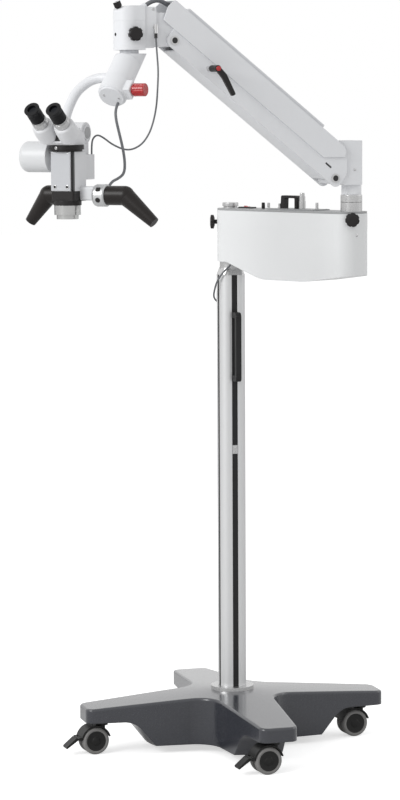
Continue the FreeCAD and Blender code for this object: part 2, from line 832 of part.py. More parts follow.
pivot_knob_seat = knob_seat("pivot_knob_level", "arm_reach", -45, "39")
column_knob_seat = knob_seat("column_knob_level", "0", -135, "37")
stem_rooms = []
for seat in (pivot_knob_seat, column_knob_seat):
    room = rod("stem_room", "clamp_stem_radius+pin_gap", "clamp_hole_depth+6")
    room.Placement = seat.multiply(Placement(Vector(0, 0, value("-clamp_hole_depth")), Rotation()))
    stem_rooms.append(room)
node(cut("housing_shell", housing_form, fused("housing_rooms", shank_room, spigot_room, *stem_rooms)),
     housing_frame)

lid_body = prism("lid_body", "XY_Plane", [housing_plan("lid_inset")], lid_seat, "lid_height",
                 circles=[("arm_reach", "0", "shank_radius+pin_gap")])
lid_plate = prism("lid_plate", "XY_Plane", [rectangle("plate_start", "-plate_width/2", "plate_end",
                  "plate_width/2", "4")], "housing_top_level-1", "plate_height+1")
switch_plate = prism("switch_plate", "XY_Plane", [rectangle("switch_start", "-switch_width/2", "switch_end",
                     "switch_width/2", "5")], "housing_top_level-1", "switch_height+1")
rocker_x0 = "(switch_start+switch_end)/2-rocker_length/2"
rocker_room = prism("rocker_room", "XY_Plane", [rectangle(f"{rocker_x0}-pin_gap", "-rocker_width/2-pin_gap",
                    f"{rocker_x0}+rocker_length+pin_gap", "rocker_width/2+pin_gap")],
                    "housing_top_level+switch_height-3", "4")
node(cut("housing_lid", fused("lid_form", lid_body, lid_plate, switch_plate), rocker_room), housing_frame)
node(prism("power_switch", "XZ_Plane", [[
    (rocker_x0, "housing_top_level+switch_height-2.6"),
    (f"{rocker_x0}+rocker_length", "housing_top_level+switch_height-2.6"),
    (f"{rocker_x0}+rocker_length", "housing_top_level+switch_height+1"),
    (f"{rocker_x0}+rocker_length/2", "housing_top_level+switch_height+0.4"),
    (rocker_x0, "housing_top_level+switch_height+rocker_height")]], "-rocker_width/2", "rocker_width"),
    housing_frame)
top = "housing_top_level"
plate_top = "housing_top_level+plate_height"
top_cap = turned("column_top_cap", [
    ("0", top), ("top_cap_radius-3", top), ("top_cap_radius-3", f"{top}+4"), ("top_cap_radius", f"{top}+5"),
    ("top_cap_radius", f"{top}+top_cap_height", "2"), ("0", f"{top}+top_cap_height")])
light = turned("light_knob", [("0", f"{top}+running_gap"), ("light_knob_radius-1", f"{top}+running_gap"),
               ("light_knob_radius", f"{top}+4"), ("light_knob_radius-0.6", f"{top}+light_knob_height", "1"),
               ("0", f"{top}+light_knob_height")])
node(light, housing_frame.multiply(at("light_knob_at")))
posts = []
for spot, tall, foot in (("first_post_at", "first_post_height", top),
                         ("second_post_at", "second_post_height", plate_top),
                         ("third_post_at", "third_post_height", plate_top)):
    post = turned("lid_post", [("0", "0"), ("lid_post_radius+1", "0"), ("lid_post_radius+1", "3"),
                  ("lid_post_radius", "4"), ("lid_post_radius", tall, "1"), ("0", tall)])
    post.Placement = at(spot, "0", foot)
    posts.append(post)
node(prism("lamp_handle", "XZ_Plane", [[
    ("bail_start", plate_top), (f"bail_start+3", f"{top}+bail_height", "4"),
    ("bail_end", f"{top}+bail_height", "6"), ("bail_end", plate_top), (f"bail_end-bail_bar*0.8", plate_top),
    (f"bail_end-bail_bar*0.8", f"{top}+bail_height-bail_bar*0.7", "3"),
    (f"bail_start+bail_bar*1.6", f"{top}+bail_height-bail_bar*0.7", "3"),
    (f"bail_start+bail_bar*1.5", plate_top)]], "-bail_width/2", "bail_width"), housing_frame)
plug = turned("lamp_plug", [("0", "0"), ("plug_radius", "0"), ("plug_radius", "plug_height-22"),
              ("plug_radius-1", "plug_height-21"), ("plug_radius-1", "plug_height-9"),
              ("plug_radius-2.5", "plug_height-8"), ("plug_radius-2.5", "plug_height", "2"),
              ("0", "plug_height")])
plug.Placement = at("plug_at", "0", plate_top)
node(grouped("lid_fittings", [top_cap, plug, *posts]), housing_frame)


def clamp_knob(label, radius, frame):
    """A star knob: a disc with scallops between its lobes, on a boss and a short stem."""
    body = new_body(label)
    profile = new_sketch(body, "XZ_Plane")
    back = "clamp_stem_length"
    outline(profile, [("0", "running_gap-clamp_hole_depth"),
                      ("clamp_stem_radius", "running_gap-clamp_hole_depth"),
            ("clamp_stem_radius", back), (f"{radius}*0.55", back), (radius, f"{back}+3", "1"),
            (radius, f"{back}+clamp_knob_thickness-2", "2"),
            (f"{radius}*0.5", f"{back}+clamp_knob_thickness", "4"),
            ("0", f"{back}+clamp_knob_thickness")])
    feature = body.newObject("PartDesign::Revolution", "Revolution")
    feature.Profile = profile
    feature.ReferenceAxis = (profile, ["V_Axis"])
    feature.Angle = 360
    scallop = new_sketch(body, "XY_Plane", back)
    ring(scallop, f"{radius}+clamp_knob_lobe*0.55", "0", "clamp_knob_lobe")
    groove = body.newObject("PartDesign::Pocket", "Pocket")
    groove.Profile = scallop
    bind(groove, "Length", "clamp_knob_thickness+2")
    groove.Reversed = True
    pattern = body.newObject("PartDesign::PolarPattern", "Scallops")
    pattern.Originals = [groove]
    pattern.Axis = (profile, ["V_Axis"])
    pattern.Angle = 360
    bind(pattern, "Occurrences", "clamp_knob_lobes")
    body.Tip = pattern
    node(body, frame)


clamp_knob("pivot_clamp_knob", "clamp_knob_radius", housing_frame.multiply(pivot_knob_seat))
clamp_knob("column_clamp_knob", "clamp_knob_radius", housing_frame.multiply(column_knob_seat))

sleeve_top = f"{top}+sleeve_height"
node(turned("pivot_sleeve", [
    ("shank_radius+pin_gap", top), ("sleeve_radius", top), ("sleeve_radius", f"{sleeve_top}-running_gap"),
    ("shank_radius+pin_gap", f"{sleeve_top}-running_gap")]), housing_frame.multiply(at("arm_reach")))

# Fork: a shank in the housing, a silver ring, a round neck and the block that carries the swing arm.
pivot_point = housing_frame.multVec(Vector(value("arm_reach"), 0, 0))
fork_frame = Placement(pivot_point, Rotation(Vector(0, 0, 1), value("link_turn")))
ring_top = f"({sleeve_top}+pivot_ring_height)"
node(turned("fork_ring", [
    ("shank_radius", sleeve_top), ("sleeve_radius", sleeve_top, "1"), ("sleeve_radius", ring_top, "2"),
    ("shank_radius", ring_top)]), fork_frame)
neck_top = f"({ring_top}+neck_height)"
neck = turned("fork_neck", [
    ("0", f"{top}-shank_depth+2"), ("shank_radius", f"{top}-shank_depth+2"), ("shank_radius", ring_top),
    ("neck_radius", ring_top), ("neck_radius", f"{neck_top}+6"), ("0", f"{neck_top}+6")])
pivot_z = "link_pivot_level"
fork_plate = prism("fork_plate", "XZ_Plane", [[
    ("-fork_back", f"{neck_top}-1"), ("-fork_back", f"{pivot_z}+fork_top_rise", "2"),
    ("link_pivot_out-fork_top_end", f"{pivot_z}+fork_top_rise", "2"),
    ("link_pivot_out+16", f"{pivot_z}+beam_rise+17", "6"), ("link_pivot_out+fork_lug", f"{pivot_z}+6", "4"),
    ("link_pivot_out+fork_lug", f"{pivot_z}-fork_lug", "fork_lug-2"),
    ("link_pivot_out-24", f"{pivot_z}-fork_lug", "4"),
    ("link_pivot_out-28", f"{neck_top}-1", "1")]], "-fork_width/2", "fork_width")
eye_room = prism("beam_eye_room", "XZ_Plane", [[
    ("link_pivot_out-beam_eye-3", f"{pivot_z}+beam_rise-beam_eye-6"),
    ("link_pivot_out+40", f"{pivot_z}+beam_rise-beam_eye-6"),
    ("link_pivot_out+40", f"{pivot_z}+fork_top_rise+5"), ("link_pivot_out+2", f"{pivot_z}+fork_top_rise+5"),
    ("link_pivot_out-beam_eye-3", f"{pivot_z}+beam_rise+beam_eye+3")]], "-beam_width/2-running_gap",
    "beam_width+2*running_gap")
link_pin_room = rod("fork_pin_room", "pin_radius+pin_gap", "2*fork_width",
                    at("link_pivot_out", "-fork_width", pivot_z, ALONG_Y))
fork_cast = cut("fork_cast", fused("fork_form", neck, fork_plate),
                fused("fork_rooms", eye_room, link_pin_room))
beam_pin = rod("fork_beam_pin", "upper_pin_radius", "fork_width",
               at("link_pivot_out", "-fork_width/2", f"{pivot_z}+beam_rise", ALONG_Y))
node(fused("fork_block", fork_cast, beam_pin), fork_frame)

# Swing arm: drawn along +X from its lower pivot and pitched up into place.
pitch = Rotation(Vector(0, 1, 0), -value("link_pitch"))
link_frame = fork_frame.multiply(Placement(Vector(value("link_pivot_out"), 0, value(pivot_z)), pitch))
shift = pitch.inverted().multVec(Vector(0, 0, value("beam_rise")))
beam_frame = link_frame.multiply(Placement(shift, Rotation()))


def link_outline(inset, open_ends):
    """The side of the lower link: a round end at the elbow and a taller ear at the fork."""
    low = f"-link_drop+{inset}"
    if open_ends:
        return [("-ear_back-5", low), ("link_length+link_end+5", low),
                ("link_length+link_end+5", "ear_rise+20"),
                ("-ear_back-5", "ear_rise+20")]
    return [("-ear_back", low, "link_drop-4"), ("link_length+link_end", low, "link_end-1"),
            ("link_length+link_end", "link_rise", "12"), ("82", "link_rise", "20"), ("56", "ear_rise+2", "8"),
            ("8", "ear_rise+2", "14"), ("-ear_back", "30", "30")]


half_link = "(link_width/2)"
link_solid = prism("link_solid", "XZ_Plane", [link_outline("0", False)], f"-{half_link}", "link_width")
link_hollow = prism("link_hollow", "XZ_Plane", [link_outline("link_wall", True)], f"-{half_link}+link_wall",
                    "link_width-2*link_wall")
fork_notch = prism("link_fork_notch", "XZ_Plane", [[
    ("-ear_back-5", "-link_drop-5"), ("24", "-link_drop-5"), ("24", "0"), ("-ear_back-5", "0")]],
    f"-{half_link}+link_wall", "link_width-2*link_wall")
elbow_notch = prism("link_elbow_notch", "XZ_Plane", [[
    ("link_length-18", "-link_drop-5"), ("link_length+link_end+5", "-link_drop-5"),
    ("link_length+link_end+5", "0"),
    ("link_length-18", "0")]], f"-{half_link}+link_wall", "link_width-2*link_wall")
bolt_rooms = [rod("link_pin_room", "pin_radius", "2*link_width", at(x, "-link_width", "0", ALONG_Y))
              for x in ("0", "link_length")]
lever_bore = rod("lever_room", "lever_hub_radius-4", "12",
                 at("lever_at", "link_width/2-10", "lever_height", ALONG_Y))
ear_slot = prism("ear_slot", "XZ_Plane", [rectangle("26", "12", "48", "17", "2.4")], "link_width/2-1.5",
                 "2.5")
node(cut("lower_link", link_solid, fused("link_rooms", link_hollow, fork_notch, elbow_notch, lever_bore,
                                         ear_slot,
                                         *bolt_rooms)), link_frame)
pins = []
for x in ("0", "link_length"):
    shaft = rod("link_pin_shaft", "pin_radius", "link_width", at(x, "-link_width/2", "0", ALONG_Y))
    heads = [rod("link_pin_head", "pin_head_radius", "pin_head_height", at(x, y, "0", ALONG_Y))
             for y in ("link_width/2", "-link_width/2-pin_head_height")]
    pins.append(fused("link_pin", shaft, *heads))
node(grouped("link_pins", pins), link_frame)

beam_half = "beam_height/2"
bar = prism("beam_bar", "XZ_Plane", [[
    ("-beam_eye", "-beam_eye", "beam_eye-1"), ("2*beam_eye", "-beam_height/2", "8"),
    ("link_length-2*beam_eye", "-beam_height/2", "8"), ("link_length+beam_eye", "-beam_eye", "beam_eye-1"),
    ("link_length+beam_eye", "beam_eye", "beam_eye-1"), ("link_length-2*beam_eye", beam_half, "8"),
    ("2*beam_eye", beam_half, "8"), ("-beam_eye", "beam_eye", "beam_eye-1")]], "-beam_width/2", "beam_width",
    circles=[("0", "0", "upper_pin_radius+pin_gap"), ("link_length", "0", "upper_pin_radius+pin_gap")])
node(bar, beam_frame)

# The cover rides on the upper beam: two side walls and a top wall, with ribs that stand on the beam.
cover_shift_x = "beam_rise*sin(link_pitch)"
cover_shift_y = "beam_rise*cos(link_pitch)"


def cover_outline():
    return [("cover_tip", "cover_bottom", "8"), ("12", "ear_rise-4", "6"), ("22", "cover_top", "24"),
            ("link_length+cover_tip", "cover_top", "5"), ("link_length+cover_tip+5", "56", "5"),
            ("link_length+cover_tip-6", "cover_bottom", "3")]


cover_solid = prism("cover_solid", "XZ_Plane", [cover_outline()], "-cover_width/2", "cover_width")
cover_room = prism("cover_room", "XZ_Plane", [[
    ("-20", "0"), ("link_length+cover_tip+20", "0"), ("link_length+cover_tip+20", "cover_top-cover_wall"),
    ("cover_top_start", "cover_top-cover_wall"), ("cover_top_start", "cover_top+5"), ("-20", "cover_top+5")]],
    "-cover_width/2+cover_wall", "cover_width-2*cover_wall")
ribs = [prism("cover_rib", "XZ_Plane", [rectangle(x, f"{cover_shift_y}+beam_height/2", f"{x}+rib_length",
              "cover_top-cover_wall+1")], "-beam_width/2", "beam_width") for x in ("rib_start", "rib_end")]
node(fused("arm_cover", cut("cover_walls", cover_solid, cover_room), *ribs), link_frame)
strip = prism("strip_bar", "YZ_Plane", [rectangle("-strip_width/2", "cover_top", "strip_width/2",
              "cover_top+strip_height", "strip_round")], "strip_start", "link_length+strip_end-strip_start")
clips = []
for x, y in (("link_length+strip_end+4", "cover_top"), ("link_length-40", "cover_top+strip_height"),
             ("353", "cover_top+strip_height"), ("169", "cover_top+strip_height")):
    clip = doc.addObject("Part::Box", "strip_clip")
    bind(clip, "Length", "clip_length")
    bind(clip, "Width", "clip_width")
    bind(clip, "Height", "clip_height")
    clip.Placement = at(x, "-strip_width/2+4", y)
    clips.append(clip)
node(grouped("arm_strip", [strip, *clips]), link_frame)

# Clamp lever on the side of the lower link.
lever_hub = turned("lever_hub", [
    ("0", "-6"), ("lever_hub_radius-4-pin_gap", "-6"), ("lever_hub_radius-4-pin_gap", "running_gap"),
    ("lever_hub_radius-2", "running_gap"), ("lever_hub_radius-2", "lever_stud_length"),
    ("lever_hub_radius", "lever_stud_length"),
    ("lever_hub_radius", "lever_hub_length", "2"), ("0", "lever_hub_length")])
lever_bar = prism("lever_bar", "XY_Plane", [[
    ("0", "-lever_thickness/2", "4"), ("lever_reach*0.35", "-lever_thickness/2-2", "20"),
    ("lever_reach", "-lever_thickness*1.6", "3"), ("lever_reach+3", "-lever_thickness*0.8", "3"),
    ("lever_reach*0.35", "lever_thickness/2", "20"), ("0", "lever_thickness/2", "4")]],
    "lever_hub_length-10", "9")
lever_frame = link_frame.multiply(Placement(Vector(value("lever_at"), value("link_width/2"),
                                                   value("lever_height")),
                                            Rotation(Vector(1, 0, 0), -90)))
lever_frame = lever_frame.multiply(Placement(Vector(), Rotation(Vector(0, 0, 1), 172)))
button = rod("lever_button", "lever_hub_radius-2.5", "2", at("0", "0", "lever_hub_length"))
node(grouped("clamp_lever", [fused("lever_arm", lever_hub, lever_bar), button]), lever_frame)


# The hose arches from the rear block of the elbow to the end of the arm's top strip.
HOSE_ROUTE = [
    Vector(-370.2, -479.1, 2027.8), Vector(-352.9, -476.5, 2039), Vector(-331.1, -473.2, 2041),
    Vector(-309.4, -470, 2030), Vector(-289.6, -467, 2015), Vector(-269.8, -464.1, 1998)]

# Elbow: a bracket with a broad rear block between the two links, then a round-nosed block under a cap.
elbow_frame = Placement(link_frame.multVec(Vector(value("link_length"), 0, 0)),
                        Rotation(Vector(0, 0, 1), value("link_turn")))
bracket_arm = prism("bracket_arm", "XZ_Plane", [[
    ("-fork_lug", "-fork_lug", "fork_lug-2"), ("rear_block_start", "-fork_lug"),
    ("rear_block_start", "rear_block_top-14"),
    ("30", "rear_block_top-14"), ("-fork_lug+1", "bracket_rise", "9"), ("-fork_lug", "8", "4")]],
    "-fork_width/2", "fork_width")
rear_block = prism("rear_block", "XZ_Plane", [[
    ("rear_block_start", "-rear_block_floor", "12"), ("elbow_joint_face", "-rear_block_floor"),
    ("elbow_joint_face", "rear_block_top"), ("rear_block_start", "rear_block_top", "4")]],
    "-rear_block_width/2", "rear_block_width")
end_room = prism("bracket_eye_room", "XZ_Plane", [[
    ("-45", "-25"), ("-16", "14"), ("0", "beam_rise-beam_eye-6"), ("beam_eye+3", "beam_rise-beam_eye-3"),
    ("beam_eye+3", "rear_block_top+5"), ("-45", "rear_block_top+5")]], "-beam_width/2-running_gap",
    "beam_width+2*running_gap")
bracket_pin_room = rod("bracket_pin_room", "pin_radius+pin_gap", "2*fork_width",
                       at("0", "-fork_width", "0", ALONG_Y))
gland_slope = math.radians(value("gland_slope"))
gland_way = Vector(-math.cos(gland_slope), 0, math.sin(gland_slope))
gland_end = Vector(value("gland_out"), 0, value("rear_block_top+gland_rise"))
gland = rod("hose_gland", "hose_diameter/2+2.5", "gland_length")
gland.Placement = Placement(gland_end - gland_way * value("gland_length"),
                            Rotation(Vector(0, 0, 1), gland_way))
bracket_cast = cut("bracket_cast", fused("bracket_form", bracket_arm, rear_block, gland),
                   fused("bracket_rooms", end_room, bracket_pin_room))
bracket_beam_pin = rod("bracket_beam_pin", "upper_pin_radius", "fork_width",
                       at("0", "-fork_width/2", "beam_rise", ALONG_Y))
node(fused("elbow_bracket", bracket_cast, bracket_beam_pin), elbow_frame)

nose = "elbow_out+elbow_radius"
elbow_plan = [("elbow_joint_face", "-elbow_radius"), (nose, "-elbow_radius", "elbow_radius-0.1"),
              (nose, "elbow_radius", "elbow_radius-0.1"), ("elbow_joint_face", "elbow_radius")]
elbow_form = prism("elbow_form", "XY_Plane", [elbow_plan], "-elbow_floor", "elbow_floor+elbow_seam")
swivel_room = rod("swivel_room", "swivel_ring_radius-8+pin_gap", "elbow_floor+20",
                  at("elbow_out", "0", "-elbow_floor-1"))
elbow_seat = Placement(Vector(value("elbow_out"), 0, 16), Rotation(Vector(0, 0, 1), 85))
elbow_seat = elbow_seat.multiply(at("elbow_radius", "0", "0", ALONG_X))
elbow_stem_room = rod("elbow_stem_room", "clamp_stem_radius+pin_gap", "clamp_hole_depth+6")
elbow_stem_room.Placement = elbow_seat.multiply(Placement(Vector(0, 0, value("-clamp_hole_depth")),
                                                          Rotation()))
node(cut("elbow_block", elbow_form, fused("elbow_rooms", swivel_room, elbow_stem_room)), elbow_frame)
cap_form = prism("elbow_cap_form", "XY_Plane", [elbow_plan], "elbow_seam", "elbow_top-elbow_seam")
cap_side = prism("elbow_cap_side", "XZ_Plane", [[
    ("elbow_joint_face-1", "elbow_seam-1"), (f"{nose}+1", "elbow_seam-1"), (f"{nose}+1", "elbow_top-12"),
    (f"{nose}-elbow_chamfer", "elbow_top", "6"), ("elbow_joint_face-1", "elbow_top")]], "-elbow_radius-1",
    "2*elbow_radius+2")
cap_solid = common("elbow_cap_solid", cap_form, cap_side)
slope = Vector(12, 0, value("elbow_chamfer+1")).normalize()
knob_foot = Placement(Vector(value(f"{nose}-elbow_chamfer/2"), 0, value("elbow_top-6")),
                      Rotation(Vector(0, 0, 1), slope))
tension = turned("tension_knob", [
    ("0", "0.3"), ("elbow_knob_radius-3", "0.3"), ("elbow_knob_radius-3", "3"),
    ("elbow_knob_radius", "3.5", "1"),
    ("elbow_knob_radius", "elbow_knob_length", "2"), ("0", "elbow_knob_length")])
tension.Placement = knob_foot
node(grouped("elbow_cap", [cap_solid, tension]), elbow_frame)
clamp_knob("elbow_clamp_knob", "clamp_knob_radius-1", elbow_frame.multiply(elbow_seat))
socket = rod("connector_socket", "connector_radius-1.2", "10", at("56", "rear_block_width/2", "33", ALONG_Y))
barrel = rod("connector_barrel", "connector_radius-0.5", "connector_length",
             at("56", "rear_block_width/2+9", "39-connector_length"))
boot = rod("connector_boot", "connector_radius-2", "12",
           at("56", "rear_block_width/2+9", "27-connector_length"))
node(grouped("elbow_connector", [fused("connector_shell", socket, barrel), boot]), elbow_frame)

# Inclined joint: a block that swivels under the elbow, and a cylinder that turns on a sloping axis.
swivel_frame = Placement(elbow_frame.multVec(Vector(value("elbow_out"), 0, -value("incline_start_drop"))),
                         Rotation(Vector(0, 0, 1), value("head_turn")))
tilt = value("incline_angle")
down = Vector(0, -math.cos(math.radians(tilt)), -math.sin(math.radians(tilt)))
slanted = Placement(Vector(), Rotation(Vector(0, 0, 1), down))
incline_frame = swivel_frame.multiply(slanted)
elbow_under = "incline_start_drop-elbow_floor"
ring_under = f"({elbow_under}-swivel_ring_height)"
block_rod = rod("swivel_rod", "incline_radius", "80+incline_upper_seam")
block_rod.Placement = slanted.multiply(Placement(Vector(0, 0, -80), Rotation()))
block_limit = prism("swivel_limit", "XY_Plane", [rectangle("-90", "-90", "90", "90")], "-90",
                    f"90+{ring_under}")
swivel_post = turned("swivel_post", [
    ("0", f"{ring_under}-2"), ("swivel_ring_radius", f"{ring_under}-2"),
    ("swivel_ring_radius", f"{elbow_under}-running_gap"),
    ("swivel_ring_radius-8", f"{elbow_under}-running_gap"),
    ("swivel_ring_radius-8", f"{elbow_under}+16"), ("0", f"{elbow_under}+16")])
incline_room = rod("incline_room", "12+pin_gap", "40")
incline_room.Placement = slanted.multiply(Placement(Vector(0, 0, value("incline_upper_seam-20")), Rotation()))
node(cut("swivel_block", fused("swivel_form", common("swivel_body", block_rod, block_limit), swivel_post),
         incline_room),
     swivel_frame)
seam = "incline_upper_seam+running_gap"
cylinder = turned("incline_turned", [
    ("0", "incline_upper_seam-18"), ("12", "incline_upper_seam-18"), ("12", seam), ("incline_radius", seam),
    ("incline_radius", "incline_lower_seam"), ("carrier_radius", "incline_lower_seam"),
    ("carrier_radius", "incline_cap_start-3"), ("incline_cap_radius+1", "incline_cap_start"),
    ("incline_cap_radius", "incline_cap_start"),
    ("incline_cap_radius", "incline_cap_start+incline_cap_height", "2"),
    ("0", "incline_cap_start+incline_cap_height")])
clamp_block = prism("clamp_block", "XY_Plane", [rectangle("20", "-clamp_block_size/2", "clamp_block_out",
                    "clamp_block_size/2", "4")], "incline_lower_seam+5", "clamp_block_size")
red_axis = at("clamp_block_out", "0", "incline_lower_seam+5+clamp_block_size/2", ALONG_X)
red_room = rod("red_room", "6+pin_gap", "20", red_axis.multiply(Placement(Vector(0, 0, -12), Rotation())))
node(cut("incline_cylinder", fused("incline_form", cylinder, clamp_block), red_room), incline_frame)
red = turned("red_turned", [
    ("0", "running_gap-12"), ("6", "running_gap-12"), ("6", "running_gap"),
    ("red_knob_radius-4", "running_gap"),
    ("red_knob_radius", "5"), ("red_knob_radius", "red_knob_length", "3"), ("0", "red_knob_length")])
flutes = []
for number in range(8):
    flute = rod("red_flute", "3.5", "red_knob_length")
    angle = math.radians(45 * number)
    reach = value("red_knob_radius+1.8")
    flute.Placement = Placement(Vector(reach * math.cos(angle), reach * math.sin(angle), 7), Rotation())
    flutes.append(flute)
node(cut("red_knob", red, fused("red_flutes", *flutes)), incline_frame.multiply(red_axis))

# Carrier arm: a curved casting from the inclined cylinder, round the head's left, to the eye of the tilt joint.
arm_points = [Vector(-20, -52, -50), Vector(-75, -58, -52), Vector(-108, -84, -84), Vector(-115, -122, -135),
              Vector(-106, -160, -187)]
sweep = tube("carrier_sweep", arm_points, value("yoke_radius"))
seat_rod = rod("carrier_seat", "incline_radius", "120")
seat_rod.Placement = slanted
eye_y, eye_z = -160, value("tilt_level-swivel_level")
eye_place = Placement(Vector(value("-head_side-tilt_left-1-eye_width"), eye_y, eye_z),
                      Rotation(Vector(0, 0, 1), ALONG_X))
eye = rod("carrier_eye", "eye_radius", "eye_width", eye_place)
tilt_room = rod("tilt_pin_room", "tilt_pin_radius+pin_gap", "eye_width+20",
                eye_place.multiply(Placement(Vector(0, 0, -10), Rotation())))
node(cut("carrier_arm", fused("carrier_form", cut("carrier_seated", sweep, seat_rod), eye), tilt_room),
     swivel_frame)

# Optical head: a tall box over a black band and the objective, with its rear housing, drum and tilt hub.
head_frame = swivel_frame.multiply(Placement(Vector(-value("head_side"), -value("head_out"), 0), Rotation()))
head_frame = head_frame.multiply(at(z="-swivel_level"))
half_head = "head_width/2"
box = rectangle(f"-{half_head}", "-head_front", half_head, "head_back", "head_corner")
main = prism("head_main", "XY_Plane", [box], "band_top_level", "head_top_level-band_top_level")
rear = prism("head_rear", "XY_Plane", [rectangle("-rear_housing_width/2", "head_back-2*head_corner",
             "rear_housing_width/2", "rear_housing_back", "head_corner")], "rear_housing_low",
             "rear_housing_high-rear_housing_low")
front_plate = prism("front_plate", "XY_Plane", [rectangle(
    f"front_plate_margin-{half_head}", "-head_front-front_plate_thickness",
    f"{half_head}-corner_notch-front_plate_margin",
    "1-head_front", "1")], "band_top_level+front_plate_margin",
    "head_top_level-band_top_level-2*front_plate_margin")
notch = prism("head_notch", "XY_Plane", [rectangle(f"{half_head}-corner_notch", "-head_front-1",
                                                   f"{half_head}+1",
              "corner_notch-head_front")], "band_top_level-1", "head_top_level-band_top_level+2")
node(fused("head_shell", cut("head_notched", main, notch), rear, front_plate), head_frame)
band = prism("band_box", "XY_Plane", [box], "band_bottom_level", "band_top_level-band_bottom_level")
spigot_low = "objective_step_level+4"
band_ring = turned("band_ring", [
    ("0", spigot_low), ("lens_bore-pin_gap", spigot_low), ("lens_bore-pin_gap", "objective_top_level"),
    ("objective_black_radius", "objective_top_level"), ("objective_black_radius", "band_bottom_level+1"),
    ("0", "band_bottom_level+1")])
node(fused("head_band", band, band_ring), head_frame)
mount_ring = turned("objective_shell", [
    ("lens_bore", "objective_bottom_level"), ("objective_step_radius", "objective_bottom_level"),
    ("objective_step_radius", "objective_step_level"), ("objective_radius", "objective_step_level"),
    ("objective_radius", "objective_top_level-running_gap"),
    ("lens_bore", "objective_top_level-running_gap")])
lens = rod("objective_lens", "lens_bore", "lens_thickness",
           at("0", "0", "objective_bottom_level+lens_recess"))
node(grouped("objective", [mount_ring, lens]), head_frame)
node(turned("dovetail_ring", [
    ("0", "head_top_level"), ("dovetail_neck_radius", "head_top_level"),
    ("dovetail_neck_radius", "head_top_level+dovetail_neck_height"),
    ("dovetail_radius", "head_top_level+dovetail_neck_height"),
    ("dovetail_radius", "head_top_level+dovetail_height", "1.5"), ("0", "head_top_level+dovetail_height")]),
    head_frame)
drum = turned("side_drum", [
    ("0", half_head), ("drum_neck_radius", half_head), ("drum_neck_radius", "dovetail_radius+1"),
    ("drum_radius", "dovetail_radius+3"),
    ("drum_radius", "drum_end", "drum_round"), ("0", "drum_end")])
node(drum, head_frame.multiply(at("0", "drum_back", "drum_level", Vector(-1, 0, 0))))
hub = rod("hub_barrel", "tilt_radius", "tilt_left+tilt_right",
          at("-tilt_left", "tilt_back", "tilt_level", ALONG_X))
hub_disc = rod("hub_disc", "tilt_radius-8", "tilt_disc_height",
               at("tilt_right", "tilt_back", "tilt_level", ALONG_X))
hub_pin = rod("hub_pin", "tilt_pin_radius", "eye_width+1",
              at("-tilt_left-eye_width-1", "tilt_back", "tilt_level", ALONG_X))
hub_neck = prism("hub_neck", "XY_Plane", [rectangle("-tilt_left+4", "tilt_neck_start", "tilt_right-2",
                 "tilt_neck_end", "4")], "rear_housing_high", "tilt_level-rear_housing_high")
node(fused("tilt_hub", hub, hub_disc, hub_pin, hub_neck), head_frame)

# Binocular tube: a wedge on the dovetail ring, two sloping prism housings and their eyepieces.
seat_level = "(head_top_level+dovetail_height)"
up = math.radians(value("tube_angle"))
far = value("eyepiece_length+ring_length+prism_length")
face_y = value("-eyecup_forward") + far * math.cos(up)
face_z = value("eyecup_level") - far * math.sin(up)
wedge = prism("binocular_body", "YZ_Plane", [[
    ("binocular_back", seat_level, "2"), (f"{face_y - 4 * math.sin(up)}", seat_level, "2"),
    (f"{face_y - 22 * math.sin(up)}", f"{face_z - 22 * math.cos(up)}"),
    (f"{face_y + 27 * math.sin(up)}", f"{face_z + 27 * math.cos(up)}"),
    ("6", f"{seat_level}+binocular_rise+8", "14"),
    ("binocular_back", f"{seat_level}+binocular_rise-8", "10")]],
    "-binocular_width/2", "binocular_width")
node(wedge, head_frame)
for name, sign in (("left", -1), ("right", 1)):
    origin = Vector(sign * value("tube_spacing") / 2, -value("eyecup_forward"), value("eyecup_level"))
    tube_axis = Vector(0, math.cos(up), -math.sin(up))
    tube_frame = head_frame.multiply(Placement(origin, Rotation(Vector(0, 0, 1), tube_axis)))
    ring_start = "eyepiece_length+running_gap"
    prism_start = "eyepiece_length+ring_length"
    node(turned(f"prism_housing_{name}", [
        ("ring_tube_radius-3.5", ring_start), ("ring_tube_radius", ring_start),
        ("ring_tube_radius", prism_start),
        ("prism_radius-2", prism_start, "6"), ("prism_radius", f"{prism_start}+18", "10"),
        ("prism_radius", f"{prism_start}+prism_length-running_gap"),
        ("0", f"{prism_start}+prism_length-running_gap"),
        ("0", f"{prism_start}+2"), ("ring_tube_radius-3.5", f"{prism_start}+2")]), tube_frame)
    node(turned(f"eyepiece_{name}", [
        ("11", "0"), ("eyepiece_radius+eyecup_flare", "0", "0.8"),
        ("eyepiece_radius-1", "eyecup_length", "3"),
        ("eyepiece_radius", "eyecup_length+3"), ("eyepiece_radius", "eyepiece_length"),
        ("ring_tube_radius-3.5-pin_gap", "eyepiece_length"),
        ("ring_tube_radius-3.5-pin_gap", "eyepiece_length+12"),
        ("0", "eyepiece_length+12"), ("0", "6"), ("11", "6")]), tube_frame)

